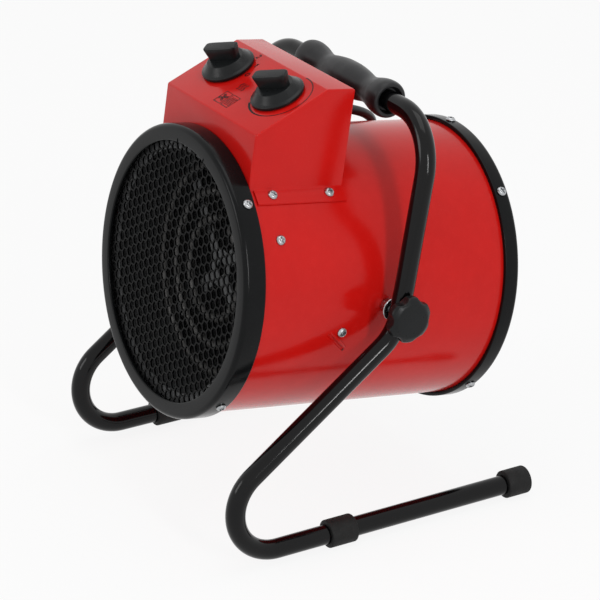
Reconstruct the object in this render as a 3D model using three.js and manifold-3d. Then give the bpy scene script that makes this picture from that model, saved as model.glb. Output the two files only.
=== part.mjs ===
// Forced air heater: a steel drum with a fan, three tubular elements and a control box on top, which tilts
// between the uprights of a bent tube that is stand and carrying handle in one.
// Millimetres, +Z up. Air leaves through the front, towards -Y. The origin is on the floor, under the middle
// of the heater without its cord.
import * as THREE from "three";
import { mergeVertices } from "three/addons/utils/BufferGeometryUtils.js";
import Module from "manifold-3d";

const wasm = await Module();
wasm.setup();

// ---------------------------------------------------------------- driving dimensions, mm and degrees
const GAP = 0.3; // between pieces that touch

// Drum and end rings
const BODY_LENGTH = 257.4; // over both rings
const DRUM_RADIUS = 114.3;
const DRUM_WALL = 1.2;
const RING_RADIUS = 118;
const RING_FACE = 2.6; // thickness of the face round the mouth
const RING_CORNER = 4; // outer edge radius
const RING_LIP = 0.8; // bevel of the mouth's edge
const FRONT_SKIRT = 18.4;
const REAR_SKIRT = 14.1;
const FRONT_MOUTH = 104.4; // radius of the opening
const REAR_MOUTH = 104.4;
const DRUM_FACETS = 40;

// Grilles
const MESH_THICKNESS = 2;
const MESH_PITCH = 18; // across flats, from cell to cell
const MESH_WEB = 3.2;
const SLOT_WIDTH = 8;
const SLOT_ROWS = [
  { inner: 20, outer: 44, count: 10 },
  { inner: 49, outer: 73, count: 16 },
  { inner: 78, outer: 101, count: 22 },
];

// Heat duct and elements
const DUCT_RADIUS = 98; // inside
const DUCT_WALL = 0.8;
const DUCT_FRONT = -121; // its front flange, from the middle of the drum
const DUCT_REAR = -18;
const ELEMENT_RADII = { inner: 40, middle: 62, outer: 84 };
const ELEMENT_TUBE = 4.1;
const ELEMENT_PLANE = -86; // axis of the rings, from the middle of the drum
const ELEMENT_LEG = 40;
const ELEMENT_BEND = 9;
const ELEMENT_SPREAD = 9; // from the middle plane to where a leg's bend ends
const SPIDER_ARM = 12;
const SPIDER_SHEET = 1.6;
const SPIDER_HUB = 16;
const SPIDER_HOLE = 6;
const TERMINAL_PLATE = { width: 42, depth: 6, low: 32 };
const LEG_PAST_PLATE = 5;

// Fan and motor
const FAN_PLANE = 25; // middle of the blades, from the middle of the drum
const FAN_RADIUS = 105;
const FAN_BLADES = 5;
const BLADE_CHORD = 44;
const BLADE_SHEET = 2.2;
const BLADE_CAMBER = 5;
const BLADE_PITCH = { root: 42, tip: 24 };
const HUB_RADIUS = 23;
const HUB_LENGTH = 26;
const SHAFT_RADIUS = 4;
const SHAFT_SEAT = 22; // how far it runs into the motor
const MOTOR_RADIUS = 36;
const MOTOR_FRONT = 44;
const MOTOR_LENGTH = 52;
const MOTOR_BOSS = { radius: 11, length: 4 };
const MOTOR_ARM = { width: 15, sheet: 2, tab: 12 };

// Control box on top of the drum
const BOX_WIDTH = 143;
const BOX_SHEET = 1.2;
const BOX_FRONT_HEIGHT = 134.8; // of the front fold above the drum's axis
const BOX_TOP_HEIGHT = 169.8;
const BOX_SLOPE_END = -51; // rear end of the sloped panel, from the middle of the drum
const BOX_REAR = -25;
const BOX_FOLD = 3; // outer radius of the folds
const FLANGE_WIDTH = 11;
const FLANGE_FRONT = -106;
const WIRE_HOLE = { radius: 11, y: -66 };

// Controls on the sloped panel
const KNOB_INSET = 32.5; // of a knob's axis from the box's cheek
const KNOB_UP_SLOPE = 41.5; // from the front fold
const KNOB = { skirt: 22, rim: 3, top: 15.5, height: 8, gap: 0.8 };
const KNOB_BAR = { length: 31, width: 9, height: 21, bevel: 1.4, angle: 33 };
const KNOB_POCKET = { radius: 10.5, depth: 4.6 };
const SPINDLE_RADIUS = 3;
const SPINDLE_SEAT = 12; // inside the switch, and inside the knob above its pocket
const BUSH_RADIUS = 4.8;
const BUSH_HEIGHT = 3.6; // above the panel
const NUT = { flats: 12, height: 2.4 };
const SWITCH_BODY = { width: 32, depth: 26, height: 24 };
const THERMOSTAT_BODY = { radius: 17, height: 20 };

// Tilt pivot
const NOSE_UP = 8.76; // tilt of the drum at rest
const PIVOT_AFT = 3.3; // of the tilt axis behind the middle of the drum
const PIVOT_RISE = 5.1; // of the tilt axis above the drum's axis
const BOLT_RADIUS = 4;
const BOLT_HEAD = { flats: 13, height: 5.3 };
const BOLT_INSET = 4.6; // of the head's outer face behind the drum's surface
const SPACER = { radius: 5.6, flange: 9.2, flangeSheet: 1.8 };
const LOCK_KNOB = { hub: 11, hubLength: 1.8, radius: 18.9, rim: 7, tip: 15.8, length: 12 };
const LOCK_KNOB_SEAT = 8; // depth of its bore
const SCALLOP = { count: 6, radius: 9, centre: 25.3 };

// Stand and handle
const PIVOT_HEIGHT = 188.5; // above the floor
const TUBE_RADIUS = 8;
const TUBE_WALL = 1.5;
const SIDE_CLEARANCE = 7.4; // between ring and stand
const FLOOR_TUBE = 11.25; // height of its axis
const LEG_ANGLE = 35.6; // from the floor
const UPRIGHT_LEAN = 13.1; // rearwards
const ELBOW_DROP = 17.785; // below the pivot, along the upright
const KNEE_RISE = 20; // above the pivot, where the uprights start to draw in
const DRAW_IN = 8; // of the top of each upright towards the middle
const HANDLE_REACH = 152; // from the pivot to the handle's axis
const TOE_BEND = 37.4;
const ELBOW_BEND = 38;
const KNEE_BEND = 120;
const TOP_BEND = 46;
const HEEL_REACH = 125.5; // of the end cap behind the pivot
const GRIP = { length: 126, end: 15.3, neck: 11.2, middle: 14.6 };
const COLLAR = { radius: 11.6, length: 24.2, front: { right: -65.7, left: -79 } };
const CAP = { length: 21.6, wall: 3 };

// Screws
const SCREW = { head: 4, headHeight: 2.6, shank: 1.9, length: 7, hole: 2.3 };
const FRONT_SCREW_Y = -117;
const REAR_SCREW_Y = 121;
const RING_SCREW_ANGLES = [45, 135, 225, 315];
const BOX_SCREW_INSET = 5.8; // from the flange's fold, round the drum
const BOX_SCREW_Y = [-91, -39.5];
const SIDE_SCREWS = { upper: { angle: 30.7, y: -92.5 }, lower: { angle: -7.9, y: -34.2 } };

// Mains cord
const CORD_RADIUS = 4;
const GLAND = { inset: 21.5, height: 118, radius: 10.5, length: 8, neck: 6, neckLength: 7 };
const RELIEF = { base: 7, tip: 5, length: 30 };
const CORD_FACETS = 10;
const COIL = { x: -203, y: 122, radius: 44, across: 2, high: 3 };
const PLUG = { radius: 18.5, length: 38, neck: 7, neckLength: 14, pin: 2.4, pinLength: 19, pinPitch: 19 };
const FLOOR_GAP = 0.1; // under the coil and the plug

// ---------------------------------------------------------------- materials
const paint = (color, roughness, metalness = 0) =>
  new THREE.MeshStandardMaterial({ color, roughness, metalness, flatShading: true });
const RED = paint(0xb01a16, 0.35, 0.1);
const BLACK_PAINT = paint(0x1c1d1d, 0.4, 0.2);
const BLACK_PLASTIC = paint(0x202121, 0.5);
const RUBBER = paint(0x191919, 0.8);
const ZINC = paint(0xc9cbcc, 0.3, 0.9);
const STEEL = paint(0x9a9c9e, 0.35, 0.9);
const ELEMENT = paint(0x4a4643, 0.6, 0.6);
const CERAMIC = paint(0xd8d2c4, 0.7);
const MOTOR_GREY = paint(0x55585a, 0.5, 0.6);

// ---------------------------------------------------------------- geometry helpers
const rad = THREE.MathUtils.degToRad;
const v2 = (x, y) => new THREE.Vector2(x, y);
const v3 = (x, y, z) => new THREE.Vector3(x, y, z);

// The surface with shared corners merged, empty triangles left out and all faces pointing out.
function closed(geometry) {
  const bare = new THREE.BufferGeometry();
  bare.setAttribute("position", geometry.attributes.position.clone());
  bare.setIndex(geometry.index ? geometry.index.clone() : null);
  const merged = mergeVertices(bare, 1e-4);
  const corners = merged.index.array;
  const [a, b, c] = [v3(), v3(), v3()];
  const kept = [];
  let volume = 0;
  for (let i = 0; i < corners.length; i += 3) {
    const [p, q, r] = corners.slice(i, i + 3);
    if (p === q || q === r || r === p) continue;
    a.fromBufferAttribute(merged.attributes.position, p);
    b.fromBufferAttribute(merged.attributes.position, q);
    c.fromBufferAttribute(merged.attributes.position, r);
    volume += a.dot(b.cross(c));
    kept.push(p, q, r);
  }
  if (volume < 0) kept.reverse();
  merged.setIndex(kept);
  return merged;
}

function solid(geometry) {
  const surface = closed(geometry);
  return new wasm.Manifold(
    new wasm.Mesh({
      numProp: 3,
      vertProperties: new Float32Array(surface.attributes.position.array),
      triVerts: new Uint32Array(surface.index.array),
    }),
  );
}

function surfaceOf(manifold) {
  const mesh = manifold.getMesh();
  const geometry = new THREE.BufferGeometry();
  geometry.setAttribute("position", new THREE.BufferAttribute(mesh.vertProperties, 3));
  geometry.setIndex(new THREE.BufferAttribute(mesh.triVerts, 1));
  return geometry;
}

const cut = (body, ...tools) =>
  surfaceOf(tools.reduce((rest, tool) => rest.subtract(solid(tool)), solid(body)));
const join = (first, ...others) =>
  surfaceOf(others.reduce((sum, one) => sum.add(solid(one)), solid(first)));

// A solid of revolution about Y. The outline is a list of [radius, y].
const turned = (outline, facets) => new THREE.LatheGeometry(outline.map(([r, y]) => v2(r, y)), facets);
const turnedRing = (outline, facets) => turned([...outline, outline[0]], facets);

// A round bar along Y.
const bar = (radius, from, to, facets = 12) =>
  new THREE.CylinderGeometry(radius, radius, to - from, facets).translate(0, (from + to) / 2, 0);

const block = ([x0, x1], [y0, y1], [z0, z1]) =>
  new THREE.BoxGeometry(x1 - x0, y1 - y0, z1 - z0).translate((x0 + x1) / 2, (y0 + y1) / 2, (z0 + z1) / 2);

function circle(radius, facets, x = 0, y = 0, from = 0, sweep = 360) {
  const last = sweep === 360 ? facets : facets + 1;
  return Array.from({ length: last }, (_, i) => {
    const angle = rad(from + (sweep * i) / facets);
    return v2(x + radius * Math.cos(angle), y + radius * Math.sin(angle));
  });
}

const prism = (outline, depth, holes = []) => {
  const shape = new THREE.Shape(outline);
  shape.holes = holes.map((hole) => new THREE.Path(hole));
  return new THREE.ExtrudeGeometry(shape, { depth, bevelEnabled: false });
};

// A plate across the drum, drawn in X and Z, between two places along Y.
const plateAcross = (outline, from, to, holes) =>
  prism(outline, to - from, holes).rotateX(Math.PI / 2).translate(0, to, 0);

// A profile drawn in Y and Z, extruded along X about the middle.
const ACROSS_X = new THREE.Matrix4().makeBasis(v3(0, 1, 0), v3(0, 0, 1), v3(1, 0, 0));
const profileAcross = (outline, width) =>
  prism(outline, width).translate(0, 0, -width / 2).applyMatrix4(ACROSS_X);

// Turns a piece that points along +Y so that it points out of the drum at an angle from +X.
function outOfDrum(geometry, angle, y) {
  const out = v3(Math.cos(rad(angle)), 0, Math.sin(rad(angle)));
  const turn = new THREE.Quaternion().setFromUnitVectors(v3(0, 1, 0), out);
  return geometry.applyQuaternion(turn).translate(0, y, 0);
}

// The points of a bent line: straight runs joined by arcs, one radius for each inner corner.
function bentLine(corners, radii, step = 21) {
  const line = [corners[0]];
  corners.slice(1, -1).forEach((corner, i) => {
    const back = corners[i].clone().sub(corner).normalize();
    const onward = corners[i + 2].clone().sub(corner).normalize();
    const turn = Math.PI - back.angleTo(onward);
    const start = corner.clone().addScaledVector(back, radii[i] * Math.tan(turn / 2));
    const inward = back.clone().add(onward).normalize();
    const centre = corner.clone().addScaledVector(inward, radii[i] / Math.cos(turn / 2));
    const spoke = start.clone().sub(centre);
    const steps = Math.ceil(turn / rad(step));
    for (let s = 0; s <= steps; s++) {
      const angle = (turn * s) / steps;
      const point = centre.clone().addScaledVector(spoke, Math.cos(angle));
      line.push(point.addScaledVector(back, -radii[i] * Math.sin(angle)));
    }
  });
  line.push(corners.at(-1));
  return line;
}

// A curve with one station at each point of a line, so that a straight run needs no extra sections.
class StationCurve extends THREE.Curve {
  constructor(points) {
    super();
    this.points = points;
  }
  station(t) {
    return Math.round(t * (this.points.length - 1));
  }
  getPoint(t, target = v3()) {
    return target.copy(this.points[this.station(t)]);
  }
  getPointAt(t, target) {
    return this.getPoint(t, target);
  }
  getTangent(t, target = v3()) {
    const i = this.station(t);
    const next = this.points[Math.min(i + 1, this.points.length - 1)];
    return target.subVectors(next, this.points[Math.max(i - 1, 0)]).normalize();
  }
  getTangentAt(t, target) {
    return this.getTangent(t, target);
  }
}

function tubeAlong(points, radius, facets, bore = 0) {
  const section = new THREE.Shape(circle(radius, facets));
  if (bore) section.holes.push(new THREE.Path(circle(bore, facets)));
  const extrudePath = new StationCurve(points);
  return new THREE.ExtrudeGeometry(section, { steps: points.length - 1, extrudePath });
}

function add(group, name, geometry, material) {
  const mesh = new THREE.Mesh(closed(geometry), material);
  mesh.name = name;
  group.add(mesh);
  return mesh;
}

// ---------------------------------------------------------------- shared places
const FRONT = -BODY_LENGTH / 2;
const REAR = BODY_LENGTH / 2;
const RING_BORE = DRUM_RADIUS + GAP;
const SHELL_BORE = DRUM_RADIUS - DRUM_WALL;
const INSIDE = SHELL_BORE - GAP; // radius of what fits in the drum
const SHELL_END = BODY_LENGTH / 2 - RING_FACE - GAP;
const DUCT_FIT = DUCT_RADIUS - GAP - 0.2; // radius of what fits in the duct
const HALF_STAND = RING_RADIUS + SIDE_CLEARANCE + TUBE_RADIUS;
const BOX_HALF = BOX_WIDTH / 2;
const FLANGE_RADIUS = RING_BORE + BOX_SHEET;
const KNOB_OFFSET = BOX_HALF - KNOB_INSET;
const GLAND_X = GLAND.inset - BOX_HALF;
const BOX_FRONT = FRONT + FRONT_SKIRT + GAP;
const SLOPE = Math.atan2(BOX_TOP_HEIGHT - BOX_FRONT_HEIGHT, BOX_SLOPE_END - BOX_FRONT);

const sideScrews = [
  { name: "body_screw_upper_right", ...SIDE_SCREWS.upper },
  { name: "body_screw_lower_right", ...SIDE_SCREWS.lower },
  { name: "body_screw_upper_left", angle: 180 - SIDE_SCREWS.upper.angle, y: SIDE_SCREWS.upper.y },
  { name: "body_screw_lower_left", angle: 180 - SIDE_SCREWS.lower.angle, y: SIDE_SCREWS.lower.y },
].map((screw) => ({ ...screw, seat: DRUM_RADIUS }));
const frontScrews = RING_SCREW_ANGLES.map((angle, i) => ({
  name: `front_ring_screw_${i + 1}`,
  angle,
  y: FRONT_SCREW_Y,
  seat: RING_RADIUS,
}));
const rearScrews = [...RING_SCREW_ANGLES, 90].map((angle, i) => ({
  name: `rear_ring_screw_${i + 1}`,
  angle,
  y: REAR_SCREW_Y,
  seat: RING_RADIUS,
}));
const boxScrewAngle = THREE.MathUtils.radToDeg(
  Math.acos(BOX_HALF / FLANGE_RADIUS) - BOX_SCREW_INSET / FLANGE_RADIUS,
);
const boxScrews = [boxScrewAngle, 180 - boxScrewAngle].flatMap((angle, side) =>
  BOX_SCREW_Y.map((y, i) => ({
    name: `box_screw_${2 * side + i + 1}`,
    angle,
    y,
    seat: FLANGE_RADIUS,
  })),
);

const screwHole = ({ angle, y }) => outOfDrum(bar(SCREW.hole, DRUM_RADIUS - 8, RING_RADIUS + 8, 8), angle, y);
const withScrewHoles = (geometry, screws) => cut(geometry, ...screws.map(screwHole));

// ---------------------------------------------------------------- drum, rings and grilles
function drumShell() {
  const tube = turnedRing(
    [
      [SHELL_BORE, -SHELL_END],
      [DRUM_RADIUS, -SHELL_END],
      [DRUM_RADIUS, SHELL_END],
      [SHELL_BORE, SHELL_END],
    ],
    DRUM_FACETS,
  );
  const boltHole = bar(BOLT_RADIUS + GAP, -RING_RADIUS, RING_RADIUS, 12)
    .rotateZ(Math.PI / 2)
    .translate(0, PIVOT_AFT, PIVOT_RISE);
  const wireHole = outOfDrum(bar(WIRE_HOLE.radius, SHELL_BORE - 8, DRUM_RADIUS + 8, 16), 90, WIRE_HOLE.y);
  const screws = [...frontScrews, ...rearScrews, ...boxScrews, ...sideScrews];
  return cut(tube, boltHole, wireHole, ...screws.map(screwHole));
}

// An end ring with its face at y = 0 and its skirt towards +Y.
function endRing(mouth, skirt) {
  const corner = circle(RING_CORNER, 3, RING_RADIUS - RING_CORNER, RING_CORNER, 270, 90);
  return turnedRing(
    [
      [mouth, RING_FACE],
      [mouth, RING_LIP],
      [mouth + RING_LIP, 0],
      ...corner.map((p) => [p.x, p.y]),
      [RING_RADIUS, skirt],
      [RING_BORE, skirt],
      [RING_BORE, RING_FACE],
    ],
    DRUM_FACETS,
  );
}

// Hexagonal cells in columns, as far as whole cells fit inside a radius.
function hexCells(radius, pitch, web) {
  const size = (pitch - web) / Math.sqrt(3);
  const column = pitch * Math.sin(rad(60));
  const columns = Math.floor(radius / column);
  const rows = Math.ceil(radius / pitch);
  const cells = [];
  for (let i = -columns; i <= columns; i++) {
    const shift = i % 2 ? pitch / 2 : 0;
    for (let j = -rows; j <= rows; j++) {
      const x = i * column;
      const z = j * pitch + shift;
      if (Math.hypot(x, z) + size < radius) cells.push(circle(size, 6, x, z));
    }
  }
  return cells;
}

function frontMesh() {
  const from = FRONT + RING_FACE + GAP;
  const cells = hexCells(FRONT_MOUTH + MESH_WEB, MESH_PITCH, MESH_WEB);
  return plateAcross(circle(INSIDE, DRUM_FACETS), from, from + MESH_THICKNESS, cells);
}

// Rows of radial slots.
function slotCells() {
  return SLOT_ROWS.flatMap(({ inner, outer, count }) =>
    Array.from({ length: count }, (_, i) => {
      const half = SLOT_WIDTH / 2;
      const outline = [
        [inner, -half],
        [outer, -half],
        [outer, half],
        [inner, half],
      ];
      const angle = ((i + 0.5) / count) * 2 * Math.PI;
      return outline.map(([x, y]) => v2(x, y).rotateAround(v2(0, 0), angle));
    }),
  );
}

function rearMesh() {
  const to = REAR - RING_FACE - GAP;
  return plateAcross(circle(INSIDE, DRUM_FACETS), to - MESH_THICKNESS, to, slotCells());
}

function buildDrum(drum) {
  add(drum, "drum_shell", drumShell(), RED);
  const front = endRing(FRONT_MOUTH, FRONT_SKIRT).translate(0, FRONT, 0);
  add(drum, "front_ring", withScrewHoles(front, frontScrews), BLACK_PAINT);
  const rear = endRing(REAR_MOUTH, REAR_SKIRT).rotateX(Math.PI).translate(0, REAR, 0);
  add(drum, "rear_ring", withScrewHoles(rear, rearScrews), BLACK_PAINT);
  add(drum, "front_grille", frontMesh(), BLACK_PAINT);
  add(drum, "rear_grille", rearMesh(), BLACK_PAINT);
}

// ---------------------------------------------------------------- heat duct and elements
function heatDuct() {
  const outer = DUCT_RADIUS + DUCT_WALL;
  return turnedRing(
    [
      [DUCT_RADIUS, DUCT_FRONT],
      [INSIDE, DUCT_FRONT],
      [INSIDE, DUCT_FRONT + DUCT_WALL],
      [outer, DUCT_FRONT + DUCT_WALL],
      [outer, DUCT_REAR - DUCT_WALL],
      [INSIDE, DUCT_REAR - DUCT_WALL],
      [INSIDE, DUCT_REAR],
      [DUCT_RADIUS, DUCT_REAR],
    ],
    DRUM_FACETS,
  );
}

// One leg of an element from its free end to the ring: side is +1 towards +X and -1 towards -X.
function elementLeg(radius, side) {
  const tilt = Math.asin((ELEMENT_SPREAD + ELEMENT_BEND) / radius);
  const end = v3(side * radius * Math.sin(tilt), 0, radius * Math.cos(tilt));
  const onward = v3(-side * Math.cos(tilt), 0, Math.sin(tilt));
  const bend = Array.from({ length: 4 }, (_, i) => {
    const angle = rad(90 - 30 * i);
    const point = end.clone().addScaledVector(onward, ELEMENT_BEND * Math.sin(angle));
    return point.add(v3(0, ELEMENT_BEND * (1 - Math.cos(angle)), 0));
  });
  return { tilt, points: [bend[0].clone().setY(ELEMENT_LEG), ...bend] };
}

function elementRing(radius) {
  const right = elementLeg(radius, 1);
  const left = elementLeg(radius, -1);
  const steps = 24;
  const sweep = 2 * Math.PI - 2 * right.tilt;
  const ring = Array.from({ length: steps - 1 }, (_, i) => {
    const angle = right.tilt + (sweep * (i + 1)) / steps;
    return v3(radius * Math.sin(angle), 0, radius * Math.cos(angle));
  });
  const points = [...right.points, ...ring, ...left.points.reverse()];
  return tubeAlong(points, ELEMENT_TUBE, 6).translate(0, ELEMENT_PLANE, 0);
}

function elementSpider() {
  const from = ELEMENT_PLANE + ELEMENT_TUBE + GAP;
  const half = SPIDER_ARM / 2;
  const reach = Math.sqrt(DUCT_FIT ** 2 - half ** 2);
  const arm = (angle) =>
    block([-reach, reach], [from, from + SPIDER_SHEET], [-half, half]).rotateY(rad(angle));
  const hub = bar(SPIDER_HUB, from, from + SPIDER_SHEET, 20);
  return cut(join(arm(45), arm(-45), hub), bar(SPIDER_HOLE, from - 1, from + SPIDER_SHEET + 1));
}

function terminalPlate() {
  const from = ELEMENT_PLANE + ELEMENT_LEG - LEG_PAST_PLATE - TERMINAL_PLATE.depth;
  const half = TERMINAL_PLATE.width / 2;
  const high = Math.sqrt(DUCT_FIT ** 2 - half ** 2);
  const plate = block([-half, half], [from, from + TERMINAL_PLATE.depth], [TERMINAL_PLATE.low, high]);
  const holes = Object.values(ELEMENT_RADII).flatMap((radius) =>
    [1, -1].map((side) => {
      const leg = elementLeg(radius, side).points[0];
      const hole = bar(ELEMENT_TUBE + 2 * GAP, from - 1, from + TERMINAL_PLATE.depth + 1, 8);
      return hole.rotateY(rad(22.5)).translate(leg.x, 0, leg.z);
    }),
  );
  return cut(plate, ...holes);
}

function buildHeating(drum) {
  add(drum, "heat_duct", heatDuct(), STEEL);
  for (const [place, radius] of Object.entries(ELEMENT_RADII)) {
    add(drum, `heating_element_${place}`, elementRing(radius), ELEMENT);
  }
  add(drum, "element_bracket", elementSpider(), STEEL);
  add(drum, "terminal_plate", terminalPlate(), CERAMIC);
}

// ---------------------------------------------------------------- fan and motor
// A blade of bent sheet: its pitch falls from root to tip, and its section is cambered.
function fanBlade() {
  const root = HUB_RADIUS - 3;
  const blade = new THREE.BoxGeometry(FAN_RADIUS - root, BLADE_SHEET, BLADE_CHORD, 4, 1, 3);
  blade.translate((FAN_RADIUS + root) / 2, 0, 0);
  const place = blade.attributes.position;
  const point = v3();
  for (let i = 0; i < place.count; i++) {
    point.fromBufferAttribute(place, i);
    const along = (point.x - root) / (FAN_RADIUS - root);
    point.z *= 0.62 + 0.38 * Math.sin((along * Math.PI) / 1.6);
    const across = (2 * point.z) / BLADE_CHORD;
    point.y += BLADE_CAMBER * (1 - across * across);
    point.applyAxisAngle(v3(1, 0, 0), rad(THREE.MathUtils.lerp(BLADE_PITCH.root, BLADE_PITCH.tip, along)));
    place.setXYZ(i, point.x, point.y, point.z);
  }
  return blade;
}

function impeller() {
  const half = HUB_LENGTH / 2;
  const hub = turned(
    [
      [0, -half],
      [HUB_RADIUS - 8, -half],
      [HUB_RADIUS - 2, -half + 3],
      [HUB_RADIUS, -half + 8],
      [HUB_RADIUS, half],
      [0, half],
    ],
    24,
  );
  const blades = Array.from({ length: FAN_BLADES }, (_, i) =>
    fanBlade().rotateY((i / FAN_BLADES) * 2 * Math.PI),
  );
  const wheel = join(hub, ...blades);
  return cut(wheel, bar(SHAFT_RADIUS + GAP, -half + 6, half + 1)).translate(0, FAN_PLANE, 0);
}

function motorHousing() {
  const rear = MOTOR_FRONT + MOTOR_LENGTH;
  const body = turned(
    [
      [0, MOTOR_FRONT - MOTOR_BOSS.length],
      [MOTOR_BOSS.radius, MOTOR_FRONT - MOTOR_BOSS.length],
      [MOTOR_BOSS.radius, MOTOR_FRONT],
      [MOTOR_RADIUS - 5, MOTOR_FRONT],
      [MOTOR_RADIUS, MOTOR_FRONT + 5],
      [MOTOR_RADIUS, rear - 4],
      [MOTOR_RADIUS - 4, rear],
      [0, rear],
    ],
    24,
  );
  const seat = bar(SHAFT_RADIUS + GAP, MOTOR_FRONT - MOTOR_BOSS.length - 1, MOTOR_FRONT + SHAFT_SEAT + GAP);
  return cut(body, seat);
}

function motorBracket() {
  const from = MOTOR_FRONT + MOTOR_LENGTH + GAP;
  const to = from + MOTOR_ARM.sheet;
  const half = MOTOR_ARM.width / 2;
  const reach = Math.sqrt((INSIDE - 0.2) ** 2 - half ** 2);
  const arm = (angle) => block([-reach, reach], [from, to], [-half, half]).rotateY(rad(angle));
  const tab = (angle) =>
    block([reach - MOTOR_ARM.sheet, reach], [from, to + MOTOR_ARM.tab], [-half, half]).rotateY(rad(angle));
  const hub = bar(MOTOR_RADIUS - 6, from, to, 24);
  const tabs = [45, 135, 225, 315].map(tab);
  return cut(join(hub, arm(45), arm(-45), ...tabs), bar(MOTOR_BOSS.radius, from - 1, to + 1, 16));
}

function buildFan(drum) {
  add(drum, "motor_housing", motorHousing(), MOTOR_GREY);
  add(drum, "motor_bracket", motorBracket(), STEEL);
  const fan = new THREE.Group();
  drum.add(fan);
  const shaftFront = FAN_PLANE - HUB_LENGTH / 2 + 6 + GAP;
  add(fan, "motor_shaft", bar(SHAFT_RADIUS, shaftFront, MOTOR_FRONT + SHAFT_SEAT), STEEL);
  add(fan, "fan_impeller", impeller(), MOTOR_GREY);
}

// ---------------------------------------------------------------- control box
// The side view of the box, drawn inset by a distance, from below the drum's top.
function boxOutline(inset) {
  const crown = inset * Math.tan(SLOPE / 2);
  const brow = inset * Math.tan(Math.PI / 4 - SLOPE / 2);
  const low = DRUM_RADIUS / 2;
  const corners = [
    v3(BOX_FRONT + inset, low, 0),
    v3(BOX_FRONT + inset, BOX_FRONT_HEIGHT - brow, 0),
    v3(BOX_SLOPE_END + crown, BOX_TOP_HEIGHT - inset, 0),
    v3(BOX_REAR - inset, BOX_TOP_HEIGHT - inset, 0),
    v3(BOX_REAR - inset, low, 0),
  ];
  const fold = BOX_FOLD - inset;
  return bentLine(corners, [fold, fold, fold], 30).map((p) => v2(p.x, p.y));
}

// A place on the sloped panel: x across, y out of the panel and z down the slope, from the front fold.
function onPanel(geometry) {
  return geometry.rotateX(Math.PI / 2 + SLOPE).translate(0, BOX_FRONT, BOX_FRONT_HEIGHT);
}

function boxShell() {
  const outside = profileAcross(boxOutline(0), BOX_WIDTH);
  const inside = profileAcross(boxOutline(BOX_SHEET), BOX_WIDTH - 2 * BOX_SHEET);
  const belowDrum = bar(RING_BORE, FRONT, REAR, DRUM_FACETS);
  const cover = cut(outside, inside, belowDrum);
  const flangeTop = THREE.MathUtils.radToDeg(Math.acos((BOX_HALF - BOX_SHEET / 2) / RING_BORE)) + 0.8;
  const flangeSweep = flangeTop - THREE.MathUtils.radToDeg(Math.acos(BOX_HALF / FLANGE_RADIUS));
  const sweep = THREE.MathUtils.radToDeg(FLANGE_WIDTH / RING_BORE) + flangeSweep;
  const flange = (from) => {
    const arc = circle(FLANGE_RADIUS, 4, 0, 0, from, sweep);
    const inner = circle(RING_BORE, 4, 0, 0, from, sweep).reverse();
    return plateAcross([...arc, ...inner], FLANGE_FRONT, BOX_REAR);
  };
  const right = flange(flangeTop - sweep);
  const left = flange(180 - flangeTop);
  const bushHoles = [-KNOB_OFFSET, KNOB_OFFSET].map((x) =>
    onPanel(bar(BUSH_RADIUS + GAP, -8, 8, 16).translate(x, 0, -KNOB_UP_SLOPE)),
  );
  const glandHole = bar(GLAND.neck + GAP, BOX_REAR - 5, BOX_REAR + 5, 16).translate(GLAND_X, 0, GLAND.height);
  const folded = cut(join(cover, right, left), ...bushHoles, glandHole);
  return withScrewHoles(folded, boxScrews);
}

const hexagon = (flats) => circle(flats / Math.sqrt(3), 6);

// All of a control, with its axis along Y, the panel's outer face at y = 0 and the box below it.
function controlKnob() {
  const base = KNOB.gap;
  const skirt = turned(
    [
      [0, base],
      [KNOB.skirt - 0.8, base],
      [KNOB.skirt, base + 0.8],
      [KNOB.skirt, base + KNOB.rim - 1],
      [KNOB.skirt - 4, base + KNOB.rim + 1.2],
      [KNOB.top + 0.6, base + KNOB.height - 1],
      [KNOB.top - 1, base + KNOB.height],
      [0, base + KNOB.height],
    ],
    24,
  );
  const half = KNOB_BAR.width / 2 - KNOB_BAR.bevel;
  const reach = KNOB_BAR.length / 2 - KNOB_BAR.bevel;
  const end = circle(half, 6, reach - half, 0, -90, 180);
  const otherEnd = circle(half, 6, -(reach - half), 0, 90, 180);
  const rise = KNOB_BAR.height - 2 * KNOB_BAR.bevel;
  const grip = new THREE.ExtrudeGeometry(new THREE.Shape([...end, ...otherEnd]), {
    depth: rise,
    bevelThickness: KNOB_BAR.bevel,
    bevelSize: KNOB_BAR.bevel,
    bevelSegments: 1,
  });
  grip.rotateX(-Math.PI / 2).translate(0, base + KNOB_BAR.bevel, 0).rotateY(rad(KNOB_BAR.angle));
  const pocket = bar(KNOB_POCKET.radius, base - 1, base + KNOB_POCKET.depth, 20);
  const bore = bar(SPINDLE_RADIUS + GAP, base, base + KNOB_POCKET.depth + SPINDLE_SEAT + GAP);
  return cut(join(skirt, grip), pocket, bore);
}

const spindle = () =>
  bar(SPINDLE_RADIUS, -BOX_SHEET - GAP - SPINDLE_SEAT, KNOB.gap + KNOB_POCKET.depth + SPINDLE_SEAT);

const bushNut = () =>
  prism(hexagon(NUT.flats), NUT.height, [circle(BUSH_RADIUS + GAP, 16)])
    .rotateX(-Math.PI / 2)
    .translate(0, GAP, 0);

function controlBody(housing) {
  const top = -BOX_SHEET - GAP;
  const bush = bar(BUSH_RADIUS, top - 1, BUSH_HEIGHT, 16);
  return cut(join(housing, bush), bar(SPINDLE_RADIUS + GAP, top - SPINDLE_SEAT - GAP, BUSH_HEIGHT + 1));
}

function switchHousing() {
  const top = -BOX_SHEET - GAP;
  const { width, depth, height } = SWITCH_BODY;
  return block([-width / 2, width / 2], [top - height, top], [-depth / 2, depth / 2]);
}

function thermostatHousing() {
  const top = -BOX_SHEET - GAP;
  return bar(THERMOSTAT_BODY.radius, top - THERMOSTAT_BODY.height, top, 24);
}

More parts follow.
